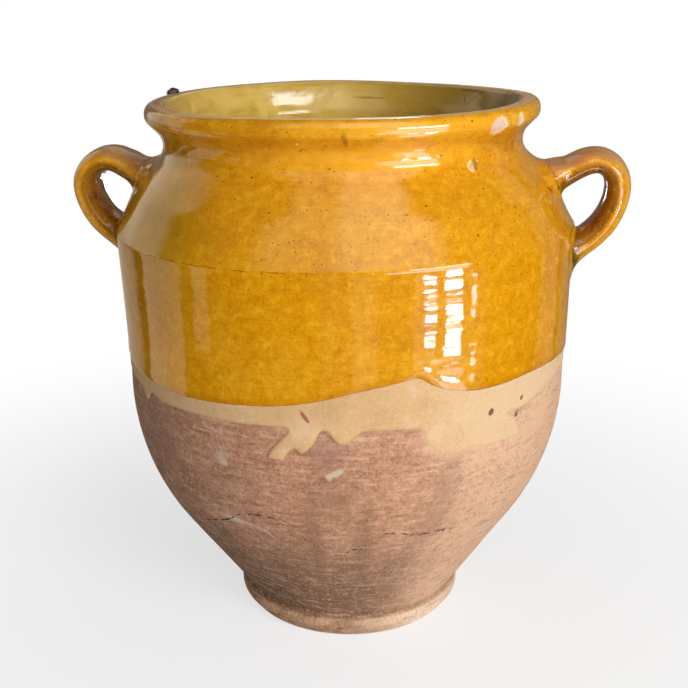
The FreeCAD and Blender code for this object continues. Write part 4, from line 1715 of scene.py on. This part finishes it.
    def _lathe(self, name: str, line: Array) -> Piece:
        """Draws a section as a chain of edges and spins it about the pot's axis.

        Args:
            name: The piece's name.
            line: Radii and heights, starting and ending on the axis.

        Returns:
            The closed turned piece.
        """
        deselect_all()
        bpy.ops.mesh.primitive_circle_add(vertices=3, radius=MM, location=(0.0, 0.0, 0.0))
        piece = take_new(name)
        edit_all(piece)
        bpy.ops.mesh.merge(type="CENTER")
        bpy.ops.transform.translate(value=(line[0][0] * MM, 0.0, line[0][1] * MM))
        for here, there in zip(line, line[1:]):
            step = ((there[0] - here[0]) * MM, 0.0, (there[1] - here[1]) * MM)
            bpy.ops.mesh.extrude_vertices_move(TRANSFORM_OT_translate={"value": step})
        bpy.ops.mesh.select_all(action="SELECT")
        bpy.ops.mesh.spin(steps=self.columns, angle=2.0 * math.pi, center=(0.0, 0.0, 0.0), axis=(0.0, 0.0, 1.0))
        bpy.ops.mesh.select_all(action="SELECT")
        bpy.ops.mesh.remove_doubles(threshold=0.01 * MM)
        bpy.ops.mesh.normals_make_consistent(inside=False)
        close_edit()
        return piece

    def _handles(self) -> None:
        """Builds both handles."""
        material = HandleGlaze(self.effects).make()
        self.handles = [
            StrapHandle("right_handle", 1.0, self.right_strap_line, self.form, self.thrown, seed=3),
            StrapHandle("left_handle", -1.0, self.left_strap_line, self.form, self.thrown, seed=11),
        ]
        for handle in self.handles:
            fit_out(handle.build(self.outer), material)

    def _slip(self) -> None:
        """Lays the slip, thick in its drips, with the bare patch left out."""
        edge, patch, glaze = Outline(self.slip_edge), Outline(self.bare_patch, True), Outline(self.glaze_edge)

        def inside(bearing: Array, height: Array, along: Array) -> Array:
            """Says how far inside the slip a place is."""
            under_glaze = 6.0 - glaze.distance(bearing, height)
            level = np.minimum(edge.distance(bearing, height), under_glaze)
            return np.minimum(level, -patch.distance(bearing, height))

        def lift(bearing: Array, height: Array, level: Array) -> Array:
            """Gives the slip's outer face against the pot's finished skin."""
            dripping = np.zeros(np.shape(height))
            for top, full, middle, wide, narrow in self.drips:
                sides = smooth_step(np.abs(bearing - middle), wide, narrow)
                dripping = np.maximum(dripping, smooth_step(height, top, full) * sides)
            crown = round_edge(level, 3.2)
            flat = round_edge(level, 1.2)
            washed = smooth_step(bearing, 16.0, 30.0)
            under = -0.35 * smooth_step(height, 138.0, 156.0)
            return under - 0.08 + (0.4 - 0.22 * washed) * flat + 1.3 * dripping * crown

        stations = self.outer.stations(self.outer.along_at(126.0), self.outer.along_at(188.0), 1.15, 0.1)
        coat = CoatGrid("cream_slip", self.outer, self.thrown, stations, self.slip_columns, inside, lift, 0.6)
        fit_out(coat.build(), CreamSlip(self.effects).make())

    def _amber(self) -> None:
        """Lays the amber glaze from its wavy lower edge over the shoulder and lip to the rim's crown."""
        edge = Outline(self.glaze_edge)
        chips = [Outline(points, True, self.form.lip_radius) for points in self.chips]
        crown = self.outer.length

        def inside(bearing: Array, height: Array, along: Array) -> Array:
            """Says how far inside the glaze a place is."""
            level = edge.distance(bearing, height)
            turn = np.radians(bearing)
            wave = 0.4 * np.sin(5.0 * turn + 1.0) + 0.3 * np.sin(13.0 * turn) + 0.2 * np.sin(29.0 * turn + 2.0)
            level = np.minimum(level, crown - 0.7 + 0.35 * wave - along)
            for chip in chips:
                level = np.minimum(level, -chip.distance(bearing, height))
            return level

        def lift(bearing: Array, height: Array, level: Array) -> Array:
            """Gives the glaze's outer face against the pot's finished skin."""
            rise = round_edge(level, 1.6)
            bead = 0.2 * np.exp(-(((level - 2.4) / 1.8) ** 2)) * smooth_step(height, 200.0, 185.0)
            return -0.1 + 0.32 * rise + bead - self._scars(bearing, height)

        def settle(points: Array) -> tuple[Array, Array]:
            """Lays the glaze over the handle roots."""
            joint = np.zeros(len(points))
            for handle in self.handles:
                points, here = handle.settle(points, self.outer)
                joint = np.maximum(joint, here)
            return points, joint

        stations = self.outer.stations(self.outer.along_at(156.0), self.outer.length, 2.0, 0.2)
        coat = CoatGrid("amber_glaze", self.outer, self.thrown, stations, self.columns, inside, lift, 0.7)
        fit_out(coat.build(settle), AmberGlaze(self.effects).make())

    def _scars(self, bearing: Array, height: Array) -> Array:
        """Gives how far the glaze lies sunk where something struck or burst it before the firing."""
        sunk = np.zeros(np.shape(height))
        for spot, tall, wide, tall_way, deep in ((46.1, 272.4, 4.2, 3.0, 0.7), (38.4, 247.6, 0.9, 0.8, 0.35),
                                                 (39.5, 238.8, 0.8, 0.7, 0.35), (-24.0, 262.0, 1.0, 1.0, 0.25)):
            across = (bearing - spot) * math.radians(1.0) * 110.0 / wide
            reach = np.hypot(across, (height - tall) / tall_way)
            sunk += deep * np.exp(-(reach ** 2)) - 0.45 * deep * np.exp(-(((reach - 1.35) / 0.45) ** 2))
        return sunk

    def _inner_glaze(self) -> None:
        """Lays the paler glaze inside, from the rim's crown down to the middle of the floor."""

        def inside(bearing: Array, height: Array, along: Array) -> Array:
            """Says how far below the rim's crown a place is."""
            turn = np.radians(bearing)
            return along - 2.9 - 0.5 * np.sin(4.0 * turn) - 0.3 * np.sin(11.0 * turn + 1.0)

        def lift(bearing: Array, height: Array, level: Array) -> Array:
            """Gives the glaze's face against the pot's finished skin."""
            return -0.25 + 0.25 * round_edge(level, 1.6)

        stations = self.inner.stations(0.0, self.inner.length, 4.0, 0.14)
        coat = CoatGrid("inner_glaze", self.inner, self.thrown, stations, self.columns // 2, inside, lift, 0.5)
        fit_out(coat.build(), InnerGlaze(self.effects).make())

    def _rim_blob(self) -> None:
        """Sits the dark glassy blob on the back of the rim."""
        deselect_all()
        bearing, radius = -104.0, self.form.lip_radius - 2.6
        centre = around(np.array([bearing]), np.array([radius]), np.array([self.form.rim_height - 0.2]))
        bpy.ops.mesh.primitive_ico_sphere_add(subdivisions=4, radius=MM)
        blob = take_new("rim_blob")
        ball = read_points(blob)
        turn = math.radians(bearing)
        side = np.array([math.cos(turn), math.sin(turn), 0.0])
        out = np.array([math.sin(turn), -math.cos(turn), 0.0])
        swell = 1.0 + 0.16 * ripple(ball, 1.6, 5)
        ball = ball * swell[:, None]
        points = centre + np.outer(ball[:, 0] * 4.4, side) + np.outer(ball[:, 1] * 3.2, out)
        points[:, 2] += ball[:, 2] * 3.0 + 0.5 * ball[:, 0]
        write_attribute(blob, "thrown_height", points[:, 2])
        write_points(blob, self.thrown.shape(points))
        smooth_faces(blob, 80.0)
        fit_out(blob, KilnGlass(self.effects).make())


@dataclass(frozen=True)
class Bright:
    """A bright area of the room, in degrees round the pot and above its middle, as the glaze mirrors it."""

    start: float
    end: float
    low: float
    high: float
    glow: float
    edge: float = 0.5
    rise_edge: float = 0.0


@dataclass
class Studio:
    """The pale floor, the soft light, the room that the glaze mirrors and the camera."""

    camera_distance: float = 642.6
    camera_height: float = 362.1
    camera_pitch_degrees: float = 17.66
    camera_bearing: float = 7.0
    focal_length: float = 60.23
    shift_right: float = -0.0038
    floor_glow: float = 0.68
    fill_light: float = 0.225
    key_place: tuple[float, float, float] = (0.94, -1.34, 0.95)
    key_size: float = 0.9
    key_power: float = 27.5
    room_radius: float = 600.0
    room_middle: float = 150.0
    room_floor: float = 2.0
    room_glow: float = 0.02
    mirrored: Sequence[Bright] = (
        Bright(36.5, 41.0, -40.0, -3.0, 1.3),
        Bright(41.0, 71.0, -40.0, -3.0, 0.4),
        Bright(-4.0, 36.5, -40.0, -3.0, 0.25, 3.0),
        Bright(10.0, 19.5, -40.0, -3.0, 0.7, 0.8),
        Bright(40.5, 46.0, -6.75, -5.6, 42.0, 0.2),
        Bright(50.5, 58.0, -6.6, -3.8, 46.0, 0.2),
        Bright(42.0, 46.0, -8.4, -7.3, 6.0, 0.2),
        Bright(41.0, 46.5, -9.25, -8.45, 42.0, 0.15),
        Bright(50.5, 58.5, -9.6, -8.2, 46.0, 0.2),
        Bright(41.0, 46.0, -11.75, -10.85, 42.0, 0.2),
        Bright(51.0, 58.0, -12.7, -10.55, 46.0, 0.2),
        Bright(38.0, 49.0, -40.0, -13.2, 2.2, 1.2),
        Bright(44.0, 60.0, -15.0, -13.9, 5.0, 0.4),
        Bright(64.0, 66.0, -8.9, -6.2, 14.0, 0.3),
        Bright(64.0, 66.0, -14.0, -12.5, 12.0, 0.3),
        Bright(38.0, 62.0, -3.0, 28.0, 3.0, 0.8),
        Bright(23.0, 38.0, -3.0, 28.0, 1.5, 0.8),
        Bright(24.0, 61.0, -2.0, 3.0, 7.0, 0.8),
        Bright(26.0, 60.0, 8.0, 12.0, 7.0, 0.8),
        Bright(34.0, 61.0, 17.0, 25.0, 15.0, 0.8),
        Bright(-101.0, -72.0, -40.0, 3.0, 0.95, 0.6),
        Bright(-64.5, -56.0, -13.4, 3.0, 0.85, 0.6),
        Bright(-97.0, -80.0, 2.0, 17.0, 0.5, 1.5, 4.0),
        Bright(-130.0, -86.0, 8.0, 46.0, 1.15, 4.0, 6.0),
        Bright(-150.0, -109.0, -40.0, 6.0, 0.3, 2.5),
        Bright(-34.0, 50.0, 28.0, 70.0, 1.1, 6.0, 8.0),
        Bright(2.0, 52.0, 32.0, 72.0, 1.85, 8.0, 8.0),
        Bright(108.0, 126.0, -40.0, 42.0, 0.35, 2.0),
        Bright(132.0, 180.0, -40.0, 40.0, 0.22, 4.0),
        Bright(-180.0, -112.0, -40.0, 40.0, 0.2, 4.0),
        Bright(-172.0, -165.5, -11.0, -5.0, 9.0),
        Bright(-163.0, -156.5, -11.0, -5.0, 9.0),
        Bright(-172.0, -165.5, -3.0, 8.0, 9.0),
        Bright(-163.0, -156.5, -3.0, 8.0, 9.0),
        Bright(-180.0, -140.0, 34.0, 66.0, 0.9, 8.0, 8.0),
    )
    window_corners: Sequence[Corner] = (
        (-5.0, 62.0, 360.0), (-4.5, 44.5, 360.0), (43.0, -22.0, 360.0), (54.0, 22.0, 360.0),
    )
    window_panes: float = 3.0
    window_glow: float = 17.0
    haze_colour = srgb(255, 239, 210)
    pane_colour = srgb(226, 240, 255)

    def build(self) -> None:
        """Sets up everything that isn't the pot."""
        self._floor()
        self._world()
        self._room()
        self._window()
        self._key_light()
        self._camera()
        bpy.context.scene.view_settings.view_transform = "Standard"

    def _floor(self) -> None:
        """Lays a pale round floor, seen nearly white except where the pot shades it."""
        deselect_all()
        bpy.ops.mesh.primitive_circle_add(vertices=96, radius=6.0, fill_type="NGON", location=(0.0, 0.0, 0.0))
        floor = take_new("floor")
        material, bench = new_material("studio_floor")
        coordinate = bench.node("TexCoord").outputs["Object"]
        reach = bench.node("VectorMath", operation="LENGTH")
        bench.feed(reach.inputs[0], coordinate)
        far = bench.ramp(reach.outputs["Value"], 0.1, 0.55, self.floor_glow, 1.0)
        noise = bench.noise(coordinate, 0.4, 3.0)
        shader = bench.node("BsdfPrincipled")
        shader.inputs["Roughness"].default_value = 0.9
        shader.inputs["Specular IOR Level"].default_value = 0.0
        bench.feed(shader.inputs["Base Color"], bench.mix((0.86, 0.86, 0.86, 1.0), (0.9, 0.9, 0.9, 1.0), noise))
        glow = bench.node("Emission")
        seen = self._seen(bench)
        blend = bench.node("MixShader")
        bench.feed(blend.inputs[0], bench.times(far, seen))
        bench.feed(blend.inputs[1], shader.outputs[0])
        bench.feed(blend.inputs[2], glow.outputs[0])
        bench.feed(bench.node("OutputMaterial").inputs["Surface"], blend.outputs[0])
        floor.data.materials.append(material)

    @staticmethod
    def _seen(bench: NodeBench) -> Socket:
        """Returns 1 for what the camera sees, itself or in a reflection or through glass."""
        path = bench.node("LightPath")
        seen = bench.math("MAXIMUM", path.outputs["Is Camera Ray"], path.outputs["Is Glossy Ray"])
        return bench.math("MAXIMUM", seen, path.outputs["Is Transmission Ray"])

    def _world(self) -> None:
        """Fills the room with soft light, and shows it white to the camera and in reflections."""
        world = bpy.data.worlds.new("studio")
        world.use_nodes = True
        bpy.context.scene.world = world
        bench = NodeBench(world.node_tree)
        seen = self._seen(bench)
        background = bench.node("Background")
        bench.feed(background.inputs["Color"], (1.0, 1.0, 1.0, 1.0))
        bench.feed(background.inputs["Strength"], bench.ramp(seen, 0.0, 1.0, self.fill_light, 1.0))
        bench.feed(bench.node("OutputWorld").inputs["Surface"], background.outputs[0])

    def _room(self) -> None:
        """Stands the room that the glaze mirrors round the pot: a dim round wall with soft bright areas."""
        deselect_all()
        bpy.ops.mesh.primitive_uv_sphere_add(
            segments=64, ring_count=32, radius=self.room_radius * MM, location=(0.0, 0.0, self.room_middle * MM)
        )
        room = take_new("mirrored_room")
        bpy.ops.object.transform_apply(location=True, rotation=True, scale=True)
        points = read_points(room)
        points[:, 2] = np.maximum(points[:, 2], self.room_floor)
        write_points(room, points)
        self._only_mirrored(room)
        material, bench = new_material("mirrored_room")
        material.cycles.emission_sampling = "NONE"
        split = bench.node("SeparateXYZ")
        bench.feed(split.inputs[0], bench.node("TexCoord").outputs["Object"])
        turn = bench.math("ARCTAN2", split.outputs["X"], bench.times(split.outputs["Y"], -1.0))
        where = bench.on_piece()
        ragged = bench.math("SUBTRACT", bench.noise(where, 27.0, 4.0, 0.6), 0.5)
        bearing = bench.math("MULTIPLY_ADD", ragged, 7.0, bench.math("DEGREES", turn))
        rise = bench.math("SUBTRACT", split.outputs["Z"], self.room_middle * MM)
        height = bench.math("DEGREES", bench.math("ARCSINE", bench.math("DIVIDE", rise, self.room_radius * MM)))
        torn = bench.math("SUBTRACT", bench.noise(where, 29.0, 3.0, 0.6), 0.5)
        height = bench.math("MULTIPLY_ADD", torn, 0.7, height)
        glow: Value = self.room_glow
        for light in self.mirrored:
            fade = light.rise_edge or light.edge
            mask = bench.times(bench.ramp(bearing, light.start - light.edge, light.start + light.edge),
                              bench.ramp(bearing, light.end + light.edge, light.end - light.edge))
            mask = bench.times(mask, bench.ramp(height, light.low - fade, light.low + fade))
            mask = bench.times(mask, bench.ramp(height, light.high + fade, light.high - fade))
            glow = bench.math("MULTIPLY_ADD", mask, light.glow, glow)
        emission = bench.node("Emission")
        tint = bench.mix(self.haze_colour, self.pane_colour, bench.ramp(glow, 2.0, 7.0))
        bench.feed(emission.inputs["Color"], tint)
        bench.feed(emission.inputs["Strength"], glow)
        bench.feed(bench.node("OutputMaterial").inputs["Surface"], emission.outputs[0])
        room.data.materials.append(material)

    @staticmethod
    def _only_mirrored(piece: Piece) -> None:
        """Hides a piece from everything but mirror reflections."""
        for ray in ("camera", "diffuse", "transmission", "shadow", "volume_scatter"):
            setattr(piece, "visible_" + ray, False)

    def _window(self) -> None:
        """Hangs the panes that the inside of the pot mirrors over its mouth."""
        pane = mesh_piece("mirrored_window", np.array(self.window_corners), [(0, 1, 2, 3)])
        spread = pane.data.uv_layers.new(name="panes")
        for corner, place in zip(spread.data, ((0.0, 1.0), (1.0, 1.0), (1.0, 0.0), (0.0, 0.0))):
            corner.uv = place
        self._only_mirrored(pane)
        material, bench = new_material("mirrored_window")
        material.cycles.emission_sampling = "NONE"
        spot = bench.node("UVMap", uv_map="panes").outputs[0]
        ragged = bench.node("TexNoise")
        bench.feed(ragged.inputs["Vector"], spot)
        bench.feed(ragged.inputs["Scale"], 5.0)
        split = bench.node("SeparateXYZ")
        bench.feed(split.inputs[0], spot)
        glow: Value = self.window_glow
        for axis in ("X", "Y"):
            drawn = bench.math("MULTIPLY_ADD", ragged.outputs["Fac"], 0.16, split.outputs[axis])
            share = bench.math("PINGPONG", bench.times(drawn, self.window_panes), 0.5)
            glow = bench.times(glow, bench.ramp(share, 0.03, 0.13, 0.55, 1.0))
        for axis in ("X", "Y"):
            drawn = bench.math("MULTIPLY_ADD", ragged.outputs["Fac"], 0.2, split.outputs[axis])
            glow = bench.times(glow, bench.ramp(drawn, 0.06, 0.12))
            glow = bench.times(glow, bench.ramp(drawn, 1.1, 1.02))
        emission = bench.node("Emission")
        emission.inputs["Color"].default_value = (0.84, 0.95, 1.0, 1.0)
        bench.feed(emission.inputs["Strength"], glow)
        bench.feed(bench.node("OutputMaterial").inputs["Surface"], emission.outputs[0])
        pane.data.materials.append(material)

    def _key_light(self) -> None:
        """Hangs the one soft square light, turned to the pot."""
        data = bpy.data.lights.new("key", "AREA")
        data.shape = "RECTANGLE"
        data.size = data.size_y = self.key_size
        data.energy = self.key_power
        light = bpy.data.objects.new("key", data)
        bpy.context.scene.collection.objects.link(light)
        light.visible_glossy = False
        light.visible_camera = False
        light.location = self.key_place
        aim = Vector((0.0, 0.0, self.room_middle * MM)) - Vector(self.key_place)
        light.rotation_euler = aim.to_track_quat("-Z", "Y").to_euler()

    def _camera(self) -> None:
        """Sets the camera where the photograph was taken."""
        data = bpy.data.cameras.new("camera")
        data.lens = self.focal_length
        data.sensor_width = 36.0
        data.shift_x = self.shift_right
        data.clip_start, data.clip_end = 0.05, 50.0
        camera = bpy.data.objects.new("camera", data)
        bpy.context.scene.collection.objects.link(camera)
        turn = math.radians(self.camera_bearing)
        camera.location = (
            self.camera_distance * math.sin(turn) * MM,
            -self.camera_distance * math.cos(turn) * MM,
            self.camera_height * MM,
        )
        camera.rotation_euler = (math.radians(90.0 - self.camera_pitch_degrees), 0.0, turn)
        bpy.context.scene.camera = camera


def main() -> None:
    """Builds the pot and the studio."""
    logging.basicConfig(level=logging.INFO, format="%(name)s %(message)s")
    Pot().build()
    Studio().build()


if __name__ == "__main__":
    main()
